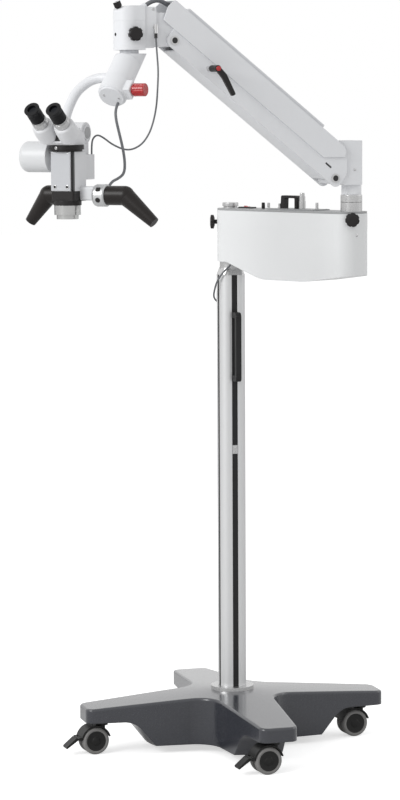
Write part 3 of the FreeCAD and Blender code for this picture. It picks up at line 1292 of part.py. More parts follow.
# Handles: a bracket and clamp on the right, and a bent grip on each side.
half_bracket = "bracket_size/2"
bracket = prism("handle_bracket", "YZ_Plane",
                [rectangle(f"handle_back-{half_bracket}*0.8", "band_bottom_level+1+running_gap",
                f"handle_back+{half_bracket}*0.8", f"handle_level+{half_bracket}", "5")], half_head,
                f"bracket_end-{half_head}")
clamp = turned("handle_clamp", [
    ("0", "bracket_end-2"), ("clamp_radius-2", "bracket_end-2"), ("clamp_radius", "bracket_end+3"),
    ("clamp_radius", "clamp_end-3"), ("clamp_radius-3", "clamp_end"), ("0", "clamp_end")])
clamp.Placement = at("0", "handle_back", "handle_level", ALONG_X)
grip_room = rod("grip_room", "grip_pin_radius+pin_gap", "20",
                at("clamp_end-grip_pin_length-1", "handle_back", "handle_level", ALONG_X))
left_root = "(left_bend-grip_radius-1)"
left_arm = rod("left_arm", "handle_level-band_bottom_level-1-running_gap", f"{left_root}-{half_head}",
               at(f"-{left_root}", "handle_back", "handle_level", ALONG_X))
left_room = rod("left_room", "grip_pin_radius+pin_gap", "20",
                at(f"-{left_root}", "handle_back", "handle_level", ALONG_X))
right_mount = cut("right_mount", fused("handle_form", bracket, clamp), grip_room)
node(grouped("handle_mounts", [right_mount, cut("left_mount", left_arm, left_room)]), head_frame)


def grip(label, start, bend, tip_x, tip_z, side):
    """A bent handle grip: a thick root, a round bend and a tapering end; x runs outwards from the head."""
    root = turned("grip_root", [
        ("0", f"{start}-grip_pin_length"), ("grip_pin_radius", f"{start}-grip_pin_length"),
        ("grip_pin_radius", f"{start}+running_gap"), ("grip_radius", f"{start}+running_gap", "2"),
        ("grip_radius", bend), ("0", bend)])
    root.Placement = Placement(Vector(), Rotation(Vector(0, 0, 1), ALONG_X))
    knee = doc.addObject("Part::Sphere", "grip_knee")
    bind(knee, "Radius", "grip_radius")
    knee.Placement = at(bend)
    reach = Vector(value(tip_x) - value(bend), 0, value(tip_z) - value("handle_level"))
    cone = doc.addObject("Part::Cone", "grip_cone")
    bind(cone, "Radius1", "grip_radius-0.5")
    bind(cone, "Radius2", "grip_tip_radius")
    cone.Height = reach.Length
    cone.Placement = Placement(Vector(value(bend), 0, 0), Rotation(Vector(0, 0, 1), reach))
    place = Placement(Vector(0, value("handle_back"), value("handle_level")),
                      Rotation(Vector(0, 0, 1), 0 if side > 0 else 180))
    node(fused(label, root, knee, cone), head_frame.multiply(place))


grip("grip_right", "clamp_end", "grip_bend", "grip_tip", "grip_tip_level", 1)
grip("grip_left", left_root, "left_bend", "left_tip", "grip_tip_level-2", -1)

# Cords, each a plain tube from gland to gland.
HEAD_CABLE_ROUTE = [
    Vector(-464.7, -557.1, 1782.2), Vector(-474.3, -567.5, 1768.1), Vector(-476, -575, 1744),
    Vector(-469, -579, 1710),
    Vector(-461, -584, 1672), Vector(-457, -590, 1636), Vector(-461, -599, 1608), Vector(-478, -611, 1596),
    Vector(-503.9, -629.5, 1587.5), Vector(-512.5, -638.9, 1574.8)]
ELBOW_CABLE_ROUTE = [
    Vector(-355.9, -524, 1944), Vector(-354, -526, 1905), Vector(-352, -531, 1862), Vector(-356, -537, 1818),
    Vector(-360, -542, 1778), Vector(-369, -548, 1740), Vector(-383, -553, 1704), Vector(-406, -556, 1675),
    Vector(-440, -556, 1662), Vector(-478, -555, 1677), Vector(-504, -556, 1697), Vector(-520, -557, 1704),
    Vector(-532, -558.5, 1694), Vector(-535, -559.7, 1675), Vector(-534.9, -559.7, 1655.4)]
node(tube("head_cable", HEAD_CABLE_ROUTE, value("head_cable_diameter/2")))
node(tube("elbow_cable", ELBOW_CABLE_ROUTE, value("elbow_cable_diameter/2")))
node(tube("arm_hose", HOSE_ROUTE, value("hose_diameter/2")))
node(tube("column_lead", LEAD_ROUTE, value("lead_diameter/2")))


# Every piece is checked, then written to a file of its name.
doc.recompute()
os.makedirs("parts", exist_ok=True)
for item in doc.Objects:
    if "Invalid" in item.State or "Error" in item.State:
        raise SystemExit(f"{item.Label} failed: {item.State}")
for item in nodes:
    if item.Shape.isNull() or not item.Shape.isValid():
        raise SystemExit(f"{item.Label} has no valid shape")
for item in nodes:
    item.Shape.exportStep(f"parts/{item.Label}.step")
print(len(nodes), "pieces written")
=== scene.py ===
import json
import math
import bpy
import numpy as np
from mathutils import Matrix, Vector

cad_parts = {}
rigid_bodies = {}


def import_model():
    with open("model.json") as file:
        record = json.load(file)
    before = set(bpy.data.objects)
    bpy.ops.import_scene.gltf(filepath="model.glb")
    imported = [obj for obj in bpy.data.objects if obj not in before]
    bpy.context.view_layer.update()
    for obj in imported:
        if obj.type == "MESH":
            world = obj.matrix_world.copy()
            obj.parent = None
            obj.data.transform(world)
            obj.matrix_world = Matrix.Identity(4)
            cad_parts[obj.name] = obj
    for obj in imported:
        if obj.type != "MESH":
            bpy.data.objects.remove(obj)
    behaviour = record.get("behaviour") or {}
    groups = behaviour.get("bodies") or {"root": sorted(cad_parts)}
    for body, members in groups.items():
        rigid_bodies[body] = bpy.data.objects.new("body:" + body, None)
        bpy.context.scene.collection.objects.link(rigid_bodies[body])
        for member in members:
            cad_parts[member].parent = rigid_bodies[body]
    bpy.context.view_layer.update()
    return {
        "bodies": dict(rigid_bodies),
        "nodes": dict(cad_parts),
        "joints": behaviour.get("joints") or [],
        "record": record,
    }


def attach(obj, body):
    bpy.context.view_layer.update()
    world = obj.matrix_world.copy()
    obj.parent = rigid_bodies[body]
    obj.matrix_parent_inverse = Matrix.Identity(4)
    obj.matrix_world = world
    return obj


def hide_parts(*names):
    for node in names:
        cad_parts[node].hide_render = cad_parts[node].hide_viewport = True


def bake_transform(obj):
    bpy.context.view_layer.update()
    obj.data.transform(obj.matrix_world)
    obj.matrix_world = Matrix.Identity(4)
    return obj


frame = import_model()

scene = bpy.context.scene
nodes = frame["nodes"]

# The view: a long lens at head height, a little to the left of the front leg and
# looking slightly down, as the photograph was taken.
lens = bpy.data.cameras.new("long_lens")
lens.sensor_width = 36
lens.lens = 131.2
lens.clip_end = 60
viewer = bpy.data.objects.new("viewer", lens)
viewer.location = (-2.357, -7.655, 1.7934)
line_of_sight = Vector((0.2825, 0.9538, -0.1030))
camera_roll = Matrix.Rotation(math.radians(-0.293), 3, "Z").to_quaternion()
viewer.rotation_mode = "QUATERNION"
viewer.rotation_quaternion = line_of_sight.to_track_quat("-Z", "Y") @ camera_roll
scene.collection.objects.link(viewer)
scene.camera = viewer
scene.view_settings.view_transform = "Standard"

# The studio: a pale floor, a white surround that lights from all sides, one broad
# lamp on the upper left and a weaker one on the right that shapes the round parts.
world = bpy.data.worlds.new("white_surround")
world.use_nodes = True
tree = world.node_tree
tree.nodes.clear()
rays = tree.nodes.new("ShaderNodeLightPath")
seen = tree.nodes.new("ShaderNodeMath")
seen.operation = "MAXIMUM"
through = tree.nodes.new("ShaderNodeMath")
through.operation = "MAXIMUM"
tree.links.new(rays.outputs["Is Camera Ray"], seen.inputs[0])
tree.links.new(rays.outputs["Is Glossy Ray"], seen.inputs[1])
tree.links.new(seen.outputs[0], through.inputs[0])
tree.links.new(rays.outputs["Is Transmission Ray"], through.inputs[1])
glow = tree.nodes.new("ShaderNodeMapRange")
glow.inputs["To Min"].default_value = 0.63
glow.inputs["To Max"].default_value = 1.0
tree.links.new(through.outputs[0], glow.inputs["Value"])
white = tree.nodes.new("ShaderNodeBackground")
white.inputs["Color"].default_value = (1, 1, 1, 1)
tree.links.new(glow.outputs["Result"], white.inputs["Strength"])
out = tree.nodes.new("ShaderNodeOutputWorld")
tree.links.new(white.outputs[0], out.inputs["Surface"])
scene.world = world
for name, place, aim, size, power in (
        ("left_softbox", (-9.0, -4.2, 6.0), (-0.2, 0, 1.2), 4.5, 600),
        ("right_softbox", (4.8, -1.2, 3.0), (0, 0, 1.2), 2.2, 34)):
    lamp = bpy.data.lights.new(name, "AREA")
    lamp.size = size
    lamp.energy = power
    box = bpy.data.objects.new(name, lamp)
    box.location = place
    box.rotation_mode = "QUATERNION"
    box.rotation_quaternion = (Vector(aim) - Vector(place)).to_track_quat("-Z", "Y")
    scene.collection.objects.link(box)

floor_reach = 30
floor_corners = [(x * floor_reach, y * floor_reach, 0) for x, y in ((-1, -1), (1, -1), (1, 1), (-1, 1))]
floor_mesh = bpy.data.meshes.new("studio_floor")
floor_mesh.from_pydata(floor_corners, [], [(0, 1, 2, 3)])
studio_floor = bpy.data.objects.new("studio_floor", floor_mesh)
scene.collection.objects.link(studio_floor)
pale = bpy.data.materials.new("pale_floor")
pale.use_nodes = True
tree = pale.node_tree
tree.nodes.clear()
rays = tree.nodes.new("ShaderNodeLightPath")
matt = tree.nodes.new("ShaderNodeBsdfDiffuse")
matt.inputs["Color"].default_value = (0.8, 0.8, 0.8, 1)
lift = tree.nodes.new("ShaderNodeEmission")
lift.inputs["Color"].default_value = (1, 1, 1, 1)
factor = tree.nodes.new("ShaderNodeMath")
factor.operation = "MULTIPLY"
factor.inputs[1].default_value = 0.60
tree.links.new(rays.outputs["Is Camera Ray"], factor.inputs[0])
tree.links.new(factor.outputs[0], lift.inputs["Strength"])
both = tree.nodes.new("ShaderNodeAddShader")
tree.links.new(matt.outputs[0], both.inputs[0])
tree.links.new(lift.outputs[0], both.inputs[1])
out = tree.nodes.new("ShaderNodeOutputMaterial")
tree.links.new(both.outputs[0], out.inputs["Surface"])
floor_mesh.materials.append(pale)


# Base: one hollow casting with four legs, in a smooth dark blue-grey paint with a
# faint orange peel. Its edges are rounded by about 6 mm, as sand castings are.
def finish(name, colour, shade, patch, grain, dent, rough, metal=0.0, edge=0.001, coat=0.0,
           streak=None, shine=0.5):
    """A painted, moulded or metal skin. Its colour is colour * (1 - n) + shade * n, where n is a soft noise
    with patches of size patch. A fine noise with grains of size grain moves the roughness by 0.07 about
    rough and raises the skin by up to dent. The noises are stretched by streak, edges look rounded by edge,
    coat is the share of clear varnish and shine the strength of the reflection."""
    rough_swing = 0.07
    made = bpy.data.materials.new(name)
    made.use_nodes = True
    tree = made.node_tree
    skin = tree.nodes["Principled BSDF"]
    where = tree.nodes.new("ShaderNodeTexCoord")
    laid = tree.nodes.new("ShaderNodeMapping")
    if streak:
        laid.inputs["Scale"].default_value = streak
    tree.links.new(where.outputs["Object"], laid.inputs["Vector"])
    cloud = tree.nodes.new("ShaderNodeTexNoise")
    cloud.inputs["Scale"].default_value = 1 / patch
    cloud.inputs["Detail"].default_value = 3
    tree.links.new(laid.outputs[0], cloud.inputs["Vector"])
    shades = tree.nodes.new("ShaderNodeMix")
    shades.data_type = "RGBA"
    shades.inputs["A"].default_value = (*colour, 1)
    shades.inputs["B"].default_value = (*shade, 1)
    tree.links.new(cloud.outputs["Fac"], shades.inputs["Factor"])
    tree.links.new(shades.outputs["Result"], skin.inputs["Base Color"])
    fine = tree.nodes.new("ShaderNodeTexNoise")
    fine.inputs["Scale"].default_value = 1 / grain
    fine.inputs["Detail"].default_value = 2
    tree.links.new(laid.outputs[0], fine.inputs["Vector"])
    gloss = tree.nodes.new("ShaderNodeMapRange")
    gloss.inputs["To Min"].default_value = rough - rough_swing
    gloss.inputs["To Max"].default_value = rough + rough_swing
    tree.links.new(fine.outputs["Fac"], gloss.inputs["Value"])
    tree.links.new(gloss.outputs["Result"], skin.inputs["Roughness"])
    corner = tree.nodes.new("ShaderNodeBevel")
    corner.samples = 4
    corner.inputs["Radius"].default_value = edge
    relief = tree.nodes.new("ShaderNodeBump")
    relief.inputs["Distance"].default_value = dent
    relief.inputs["Strength"].default_value = 0.6
    tree.links.new(fine.outputs["Fac"], relief.inputs["Height"])
    tree.links.new(corner.outputs[0], relief.inputs["Normal"])
    tree.links.new(relief.outputs[0], skin.inputs["Normal"])
    skin.inputs["Metallic"].default_value = metal
    skin.inputs["Specular IOR Level"].default_value = shine
    skin.inputs["Coat Weight"].default_value = coat
    skin.inputs["Coat Roughness"].default_value = 0.12
    return made


def dress(material, *names):
    """Gives the named pieces, whose shapes stay as they are, one material."""
    for name in names:
        slots = nodes[name].data.materials
        slots.clear()
        slots.append(material)


leg_paint = finish("leg_paint", (0.029, 0.031, 0.040), (0.024, 0.026, 0.034), 0.12, 0.0012, 0.00008, 0.26,
                   edge=0.006, coat=0.7)
dress(leg_paint, "base_casting")

# Castors: twin wheels with a soft grey tread on black discs, under a black moulded
# hood; the two in front have a foot brake.
castor_black = finish("castor_black", (0.010, 0.010, 0.010), (0.015, 0.015, 0.014), 0.02, 0.0006, 0.00005,
                      0.42, edge=0.0008, shine=0.25)
tread_grey = finish("tread_grey", (0.225, 0.220, 0.215), (0.190, 0.186, 0.182), 0.01, 0.0008, 0.00006, 0.62,
                    edge=0.0008)


def surface(name, grid, material, body, round_v=True, caps=True, crease=38):
    """A mesh with its points on grid[i, j]. Each row i is a ring, closed when round_v is set, and each
    square joins the points (i, j), (i, j+1), (i+1, j+1) and (i+1, j). The caps close the first and the last
    ring on their own middle points, and edges sharper than crease degrees stay sharp."""
    rows, cols = grid.shape[:2]
    points = grid.reshape(-1, 3)
    i, j = np.meshgrid(np.arange(rows - 1), np.arange(cols if round_v else cols - 1), indexing="ij")
    k = (j + 1) % cols
    quads = np.stack([i * cols + j, i * cols + k, (i + 1) * cols + k, (i + 1) * cols + j], -1).reshape(-1, 4)
    faces = quads.tolist()
    if caps:
        middles = np.array([grid[0].mean(0), grid[-1].mean(0)])
        points = np.concatenate([points, middles])
        ring = np.arange(cols)
        after = (ring + 1) % cols
        first = np.stack([after, ring, np.full(cols, rows * cols)], -1)
        last = np.stack([ring + (rows - 1) * cols, after + (rows - 1) * cols,
                         np.full(cols, rows * cols + 1)], -1)
        faces += first.tolist() + last.tolist()
    mesh = bpy.data.meshes.new(name)
    mesh.from_pydata(points.tolist(), [], faces)
    mesh.validate()
    mesh.shade_smooth()
    mesh.set_sharp_from_angle(angle=math.radians(crease))
    mesh.materials.append(material)
    piece = bpy.data.objects.new(name, mesh)
    scene.collection.objects.link(piece)
    if body:
        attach(piece, body)
    return piece


def placed(points, frame):
    """Points of a local frame (origin, x axis, z axis) in the stand's own frame: the origin plus each of
    the point's three numbers times the axis it belongs to."""
    origin, x, z = (np.array(part, float) for part in frame)
    z = z / np.linalg.norm(z)
    x = x - np.dot(x, z) * z
    x = x / np.linalg.norm(x)
    return origin + np.array(points, float) @ np.stack([x, np.cross(z, x), z])


def seat(frame, spot, along=(0, 0, 1)):
    """A new frame on a spot of a local frame: its z axis runs along the direction given there, and its
    x axis is square to that."""
    askew = (0.31, 0.52, 0.79)
    start, end = placed([spot, np.add(spot, along)], frame)
    return start, np.cross(end - start, askew), end - start


def softened(corners, steps=5):
    """An outline with its corners rounded. Each corner is (r, z, radius). Its arc starts and ends at
    radius / tan(half the corner's angle) from the corner, where it touches both sides, and has steps
    points at the distance radius from its middle."""
    corners = [(*c, 0)[:3] for c in corners]
    line = []
    for n, (r, z, radius) in enumerate(corners):
        here = np.array([r, z])
        if radius and 0 < n < len(corners) - 1:
            back = np.array(corners[n - 1][:2]) - here
            fore = np.array(corners[n + 1][:2]) - here
            back, fore = back / np.linalg.norm(back), fore / np.linalg.norm(fore)
            half = math.acos(float(np.clip(back @ fore, -1, 1))) / 2
            reach = radius / math.tan(half)
            middle = here + (back + fore) / np.linalg.norm(back + fore) * radius / math.sin(half)
            start, end = here + back * reach - middle, here + fore * reach - middle
            for t in np.linspace(0, 1, steps):
                arm = start * (1 - t) + end * t
                line.append(middle + arm / np.linalg.norm(arm) * radius)
        else:
            line.append(here)
    return np.array(line)


def turned(name, corners, frame, material, body, around=48, ripple=None, crease=38, steps=5):
    """A turned piece: each (r, z) of an outline goes to (r cos a, r sin a, z) for all angles a round the
    frame's z axis. For flutes and knurls r is first multiplied by ripple(a, z). An outline that starts off
    the axis is closed on itself."""
    line = softened(corners, steps)
    bored = line[0][0] > 0.001
    if bored:
        line = np.concatenate([line, line[:1]])
    angle = np.linspace(0, 2 * math.pi, around, endpoint=False)
    radius = np.broadcast_to(line[:, :1], (len(line), around)).copy()
    if ripple:
        radius = radius * ripple(angle[None, :], line[:, 1:2])
    grid = np.stack([radius * np.cos(angle), radius * np.sin(angle),
                     np.broadcast_to(line[:, 1:2], radius.shape)], -1)
    return surface(name, placed(grid, frame), material, body, caps=not bored, crease=crease)


castor_way = math.radians(184)
roll_axis = (-math.sin(castor_way), math.cos(castor_way), 0)
stem_reach = 0.377
wheel_radius = 0.0375
axle_trail = 0.024
wheel_offset = 0.0165
for name, angle in (("right", 0), ("rear", 90), ("left", 180), ("front", 270)):
    around_column = math.radians(angle)
    across, along = math.cos(around_column), math.sin(around_column)
    stem = np.array([stem_reach * across, stem_reach * along, wheel_radius])
    axle = stem + axle_trail * np.array([math.cos(castor_way), math.sin(castor_way), 0])
    dress(castor_black, f"castor_fork_{name}")
    for side in (1, -1):
        out_way = np.array(roll_axis) * side
        body = f"wheels_{name}"
        label = f"{name}_{'outer' if side > 0 else 'inner'}"
        hub = (axle + out_way * wheel_offset, (0, 0, 1), out_way)
        turned(f"castor_tread_{label}", [
            (0.0275, -0.0090), (0.0330, -0.0090, 0.002), (wheel_radius, -0.0060, 0.004),
            (wheel_radius, 0.0060, 0.004), (0.0330, 0.0090, 0.002), (0.0300, 0.0090, 0.0008),
            (0.0292, 0.0080), (0.0275, 0.0080)], hub, tread_grey, body, around=56)
        disc = turned(f"castor_disc_{label}", [
            (0.0002, -0.0085), (0.0285, -0.0085), (0.0288, 0.0072, 0.001), (0.0262, 0.0088, 0.001),
            (0.0240, 0.0080, 0.001), (0.0120, 0.0066, 0.004), (0.0095, 0.0086, 0.001),
            (0.0002, 0.0092)], hub, castor_black, body, around=48)
    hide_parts(f"castor_wheels_{name}")
dress(castor_black, "brake_pedal_left", "brake_pedal_front")

# Column: an extruded aluminium profile with a natural anodised skin; a dark strip
# closes the slot in each face, and a turned collar ring hides the joint at its foot.
column_skin = finish("column_skin", (0.70, 0.705, 0.71), (0.65, 0.655, 0.66), 0.05, 0.0005, 0.00003, 0.36,
                     metal=0.5, edge=0.002, streak=(1, 1, 0.02))
slot_black = finish("slot_black", (0.012, 0.012, 0.013), (0.018, 0.018, 0.018), 0.03, 0.0005, 0.00004, 0.5,
                    edge=0.0006, shine=0.25)
bright_steel = ((0.60, 0.60, 0.60), (0.52, 0.52, 0.52), 0.03, 0.0005, 0.00002, 0.28)
turned_steel = finish("turned_steel", *bright_steel, metal=0.9, edge=0.0008, streak=(0.1, 0.1, 1))
dress(column_skin, "column_profile")
dress(slot_black, "column_inserts", "column_handle")
dress(turned_steel, "column_ring", "column_cap")


def block(name, low, high, frame, material, body, corner=0.001, edge=0.0004):
    """A block between two corner points of a frame. Its four levels are rectangles whose corners are
    quarter circles of radius corner, and the first and the last are drawn in by edge, for a slight bevel."""
    low, high = np.array(low, float), np.array(high, float)
    rows = []
    for level, inset in ((low[2], edge), (low[2] + edge, 0), (high[2] - edge, 0), (high[2], edge)):
        ring = []
        for quarter, (sx, sy) in enumerate(((1, 1), (-1, 1), (-1, -1), (1, -1))):
            round_ = max(corner - inset, 0.00005)
            centre = np.array([(high[0] - inset - round_) if sx > 0 else (low[0] + inset + round_),
                               (high[1] - inset - round_) if sy > 0 else (low[1] + inset + round_)])
            for t in np.linspace(0, 1, 5):
                turn = (quarter + t) * math.pi / 2
                ring.append((*(centre + round_ * np.array([math.cos(turn), math.sin(turn)])), level))
        rows.append(ring)
    return surface(name, placed(rows, frame), material, body)


def screw(name, radius, frame, body, socket=0.5):
    """A low round screw head on the frame's origin: 0.38 radii high, with a recess that is socket radii
    wide and goes down to 0.1 radii."""
    head = [(0.0002, 0), (radius, 0), (radius, radius * 0.35, radius * 0.12),
            (radius * socket, radius * 0.38), (radius * socket, radius * 0.1), (0.0002, radius * 0.1)]
    return turned(name, head, frame, turned_steel, body, around=24)


column_frame = ((0, 0, 0), (1, 0, 0), (0, 0, 1))
clip_face = -0.0366
block("slot_clip", (-0.0075, clip_face, 0.818), (0.0075, -0.0344, 0.842), column_frame, turned_steel, "base")
for label, level in (("low", 0.824), ("high", 0.836)):
    screw(f"slot_clip_screw_{label}", 0.0028, seat(column_frame, (0, clip_face, level), (0, -1, 0)), "base")

# Horizontal arm: a sheet-metal box with rounded ends and a curved belly, powder
# coated in white; a grey lid carries the switch, the lamp controls and a bail handle.
box_white = finish("box_white", (0.765, 0.775, 0.78), (0.735, 0.745, 0.75), 0.3, 0.0009, 0.00006, 0.42,
                   edge=0.002)
lid_grey = finish("lid_grey", (0.36, 0.365, 0.37), (0.32, 0.325, 0.33), 0.1, 0.0008, 0.00006, 0.45,
                  edge=0.001)
black_moulding = ((0.013, 0.012, 0.012), (0.020, 0.018, 0.018), 0.015, 0.0005, 0.00006, 0.4)
knob_black = finish("knob_black", *black_moulding, edge=0.0008, shine=0.25)


def inlay(material, frame, low, high, colour, rough, metal=0.0, round_=False):
    """Another finish within a zone of a piece, such as a plug or a button made in one part with it. The
    zone is where each local coordinate of a point lies between low and high. Where round_ is set, it is
    where sqrt(x * x + y * y) lies between low[0] and high[0], and z between low[2] and high[2]."""
    tree = material.node_tree
    skin = tree.nodes["Principled BSDF"]
    axes = [tuple(part) for part in placed(np.eye(3), ((0, 0, 0), *frame[1:]))]
    where = tree.nodes.new("ShaderNodeTexCoord")
    moved = tree.nodes.new("ShaderNodeVectorMath")
    moved.operation = "SUBTRACT"
    moved.inputs[1].default_value = tuple(float(v) for v in frame[0])
    tree.links.new(where.outputs["Object"], moved.inputs[0])
    reach = []
    for axis in axes:
        along = tree.nodes.new("ShaderNodeVectorMath")
        along.operation = "DOT_PRODUCT"
        along.inputs[1].default_value = tuple(float(v) for v in axis)
        tree.links.new(moved.outputs[0], along.inputs[0])
        reach.append(along.outputs["Value"])

    def joined(kind, first, second):
        """One arithmetic step between two sockets or numbers."""
        made = tree.nodes.new("ShaderNodeMath")
        made.operation = kind
        for slot, given in enumerate((first, second)):
            if isinstance(given, (int, float)):
                made.inputs[slot].default_value = given
            else:
                tree.links.new(given, made.inputs[slot])
        return made.outputs[0]

    if round_:
        squares = joined("ADD", joined("POWER", reach[0], 2.0), joined("POWER", reach[1], 2.0))
        reach = [joined("POWER", squares, 0.5), reach[2]]
        low, high = (low[0], low[-1]), (high[0], high[-1])
    inside = 1.0
    for value, least, most in zip(reach, low, high):
        within = joined("MULTIPLY", joined("GREATER_THAN", value, least), joined("LESS_THAN", value, most))
        inside = joined("MULTIPLY", inside, within)
    for socket, wanted in (("Base Color", (*colour, 1)), ("Roughness", rough), ("Metallic", metal)):
        if not skin.inputs[socket].is_linked and skin.inputs[socket].default_value == wanted:
            continue
        mix = tree.nodes.new("ShaderNodeMix")
        mix.data_type = "RGBA" if socket == "Base Color" else "FLOAT"
        kind = "RGBA" if socket == "Base Color" else "VALUE"
        ends = ((mix.inputs, "A"), (mix.inputs, "B"), (mix.outputs, "Result"))
        start, end, result = [next(slot for slot in slots if slot.type == kind and slot.name == label)
                              for slots, label in ends]
        if skin.inputs[socket].is_linked:
            tree.links.new(skin.inputs[socket].links[0].from_socket, start)
        else:
            start.default_value = skin.inputs[socket].default_value
        end.default_value = wanted
        tree.links.new(inside, mix.inputs["Factor"])
        tree.links.new(result, skin.inputs[socket])


housing_frame = ((0, 0, 0), (0.47716, -0.87882, 0), (0, 0, 1))
switch_black = (0.014, 0.014, 0.014)
inlay(lid_grey, housing_frame, (0.0375, -0.0115, 1.4942), (0.0915, 0.0115, 1.4990), switch_black, 0.4)
dress(box_white, "housing_shell")
dress(lid_grey, "housing_lid")
dress(knob_black, "lamp_handle", "light_knob", "pivot_clamp_knob", "column_clamp_knob", "elbow_clamp_knob")
dress(turned_steel, "lid_fittings", "pivot_sleeve", "fork_ring")
signal_red = finish("signal_red", (0.46, 0.020, 0.022), (0.38, 0.016, 0.018), 0.01, 0.0004, 0.00003, 0.3,
                    edge=0.0008, coat=0.3)
dress(signal_red, "power_switch", "red_knob")
screw("housing_end_screw", 0.0036, seat(housing_frame, (0.4757, -0.012, 1.4315), (1, 0, 0)), "housing")
lid_face = 1.4970
for label, spot in (("near", -0.030), ("far", 0.030)):
    for end, place in (("start", 0.182), ("end", 0.330)):
        screw(f"lid_screw_{label}_{end}", 0.0026, seat(housing_frame, (place, spot, lid_face)), "housing")

# Swing arm: a parallelogram of two links in cast aluminium, painted light grey; the upper cover
# laps over the lower link with a painted shadow line under its edge, and the pivots end in turned caps.
arm_paint = ((0.77, 0.78, 0.80), (0.73, 0.74, 0.76), 0.25, 0.0008, 0.00005, 0.4)
arm_white = finish("arm_white", *arm_paint, edge=0.0012)
link_white = finish("link_white", *arm_paint, edge=0.0012)
rail_grey = finish("rail_grey", (0.71, 0.72, 0.74), (0.67, 0.68, 0.70), 0.25, 0.0008, 0.00005, 0.42,
                   edge=0.0012)
pivot_steel = finish("pivot_steel", (0.62, 0.62, 0.62), (0.55, 0.55, 0.55), 0.03, 0.0005, 0.00002, 0.3,
                     metal=0.85, edge=0.0006)
link_frame = ((0.14655, -0.40186, 1.5835), (-0.7819, -0.11686, 0.61236), (0.60563, 0.09051, 0.79058))
link_length = 0.5806
link_half_width = 0.038
pin_black = (0.012, 0.012, 0.012)
for end in (0.0, link_length):
    for side in (1, -1):
        pin_end = seat(link_frame, (end, link_half_width * side, 0), (0, side, 0))
        inlay(pivot_steel, pin_end, (0, 0, 0.0012), (0.0078, 0, 0.01), pin_black, 0.45, round_=True)
inlay(link_white, link_frame, (0.0262, 0.0350, 0.0122), (0.0478, 0.0378, 0.0168), pin_black, 0.5)
# A thin dark band along the lower link, just under the cover's edge, is the painted shadow of the
# overhanging cover.
inlay(link_white, link_frame, (0.060, -0.0500, 0.0335), (0.5300, 0.0500, 0.0360), (0.06, 0.06, 0.06), 0.6)
clip_size = (0.013, 0.014, 0.0057)
for place, level in ((0.5946, 0.081), (0.5386, 0.092), (0.351, 0.092), (0.167, 0.092)):
    clip_low = (place, -0.031, level + 0.0003)
    inlay(rail_grey, link_frame, clip_low, np.add(clip_low, clip_size).tolist(), (0.016, 0.016, 0.016), 0.45)
dress(arm_white, "fork_block", "arm_cover", "elbow_bracket", "elbow_block", "swivel_block", "carrier_arm")
dress(link_white, "lower_link")
dress(rail_grey, "arm_strip")
dress(pivot_steel, "link_pins")
dress(turned_steel, "beam_bar")
fork_frame = ((0.2128, -0.3920, 0), (-0.98902, -0.14781, 0), (0, 0, 1))
fork_side = 0.0335
for label, place, level in (("outer", 0.0388, 1.6283), ("inner", 0.0080, 1.6047)):
    screw(f"fork_screw_{label}", 0.0032, seat(fork_frame, (place, fork_side, level), (0, 1, 0)), "fork")

# Clamp lever: a steel stud in the lower link carries a black moulded arm with a red
# button in its hub.
lever_black = finish("lever_black", *black_moulding, edge=0.0008, shine=0.25)
lever_seat = seat(link_frame, (0.462, link_half_width, 0.002), (0, 1, 0))
inlay(lever_black, lever_seat, (0, 0, -0.01), (0.0075, 0, 0.0179), (0.62, 0.62, 0.62), 0.28, metal=0.9,
      round_=True)
dress(lever_black, "clamp_lever")
turned("lever_button", [(0.0002, 0.0580), (0.0064, 0.0580), (0.0064, 0.0610, 0.001), (0.0002, 0.0614)],
       lever_seat, signal_red, "arm_lock", around=32)

# Elbow: a round-nosed cast block under a cap, with a knurled tension knob on its
# sloping nose, a star knob at its side and the plug of the cable behind it.
cap_white = finish("cap_white", *arm_paint, edge=0.0012)
dress(cap_white, "elbow_cap")
elbow_frame = ((-0.3074, -0.4697, 1.9390), (-0.98902, -0.14781, 0), (0, 0, 1))
tension_seat = seat(elbow_frame, (0.1365, 0, 0.081), (0.012, 0, 0.027))
turned("tension_knob", [
    (0.0002, 0.0006), (0.0068, 0.0006), (0.0068, 0.0032), (0.0094, 0.0036, 0.0006), (0.0094, 0.0176, 0.001),
    (0.0002, 0.0184)], tension_seat, knob_black, "elbow", around=120,
    ripple=lambda angle, level: 1 + 0.03 * np.cos(30 * angle), crease=60)
screw("elbow_screw", 0.0034, seat(elbow_frame, (0.0587, 0.0375, 0.078), (0, 1, 0)), "elbow")
nose_centre = 0.1095
nose_radius = 0.0400
hole_turn = 0.0575 / nose_radius
hole_way = (math.sin(hole_turn), math.cos(hole_turn), 0)
hole = np.add((nose_centre, 0, 0.0152), np.multiply(hole_way, nose_radius - 0.0002))
turned("elbow_hole_lining", [
    (0.0002, 0), (0.0040, 0), (0.0040, 0.0006), (0.0030, 0.0006), (0.0030, 0.0003), (0.0002, 0.0003)],
    seat(elbow_frame, hole, hole_way), slot_black, "elbow", around=24)
knob_turn = math.radians(85)
knob_way = (math.cos(knob_turn), math.sin(knob_turn), 0)
boss = np.add((nose_centre, 0, 0.016), np.multiply(knob_way, nose_radius - 0.0001))
turned("elbow_knob_boss", [(0.0065, 0), (0.0110, 0), (0.0110, 0.0030, 0.0006), (0.0065, 0.0030)],
       seat(elbow_frame, boss, knob_way), turned_steel, "elbow", around=32)
plug_steel = finish("plug_steel", *bright_steel, metal=0.9, edge=0.0005)
inlay(plug_steel, elbow_frame, (0.045, 0.035, -0.010), (0.070, 0.060, 0.0170), (0.013, 0.013, 0.013), 0.45)
dress(plug_steel, "elbow_connector")

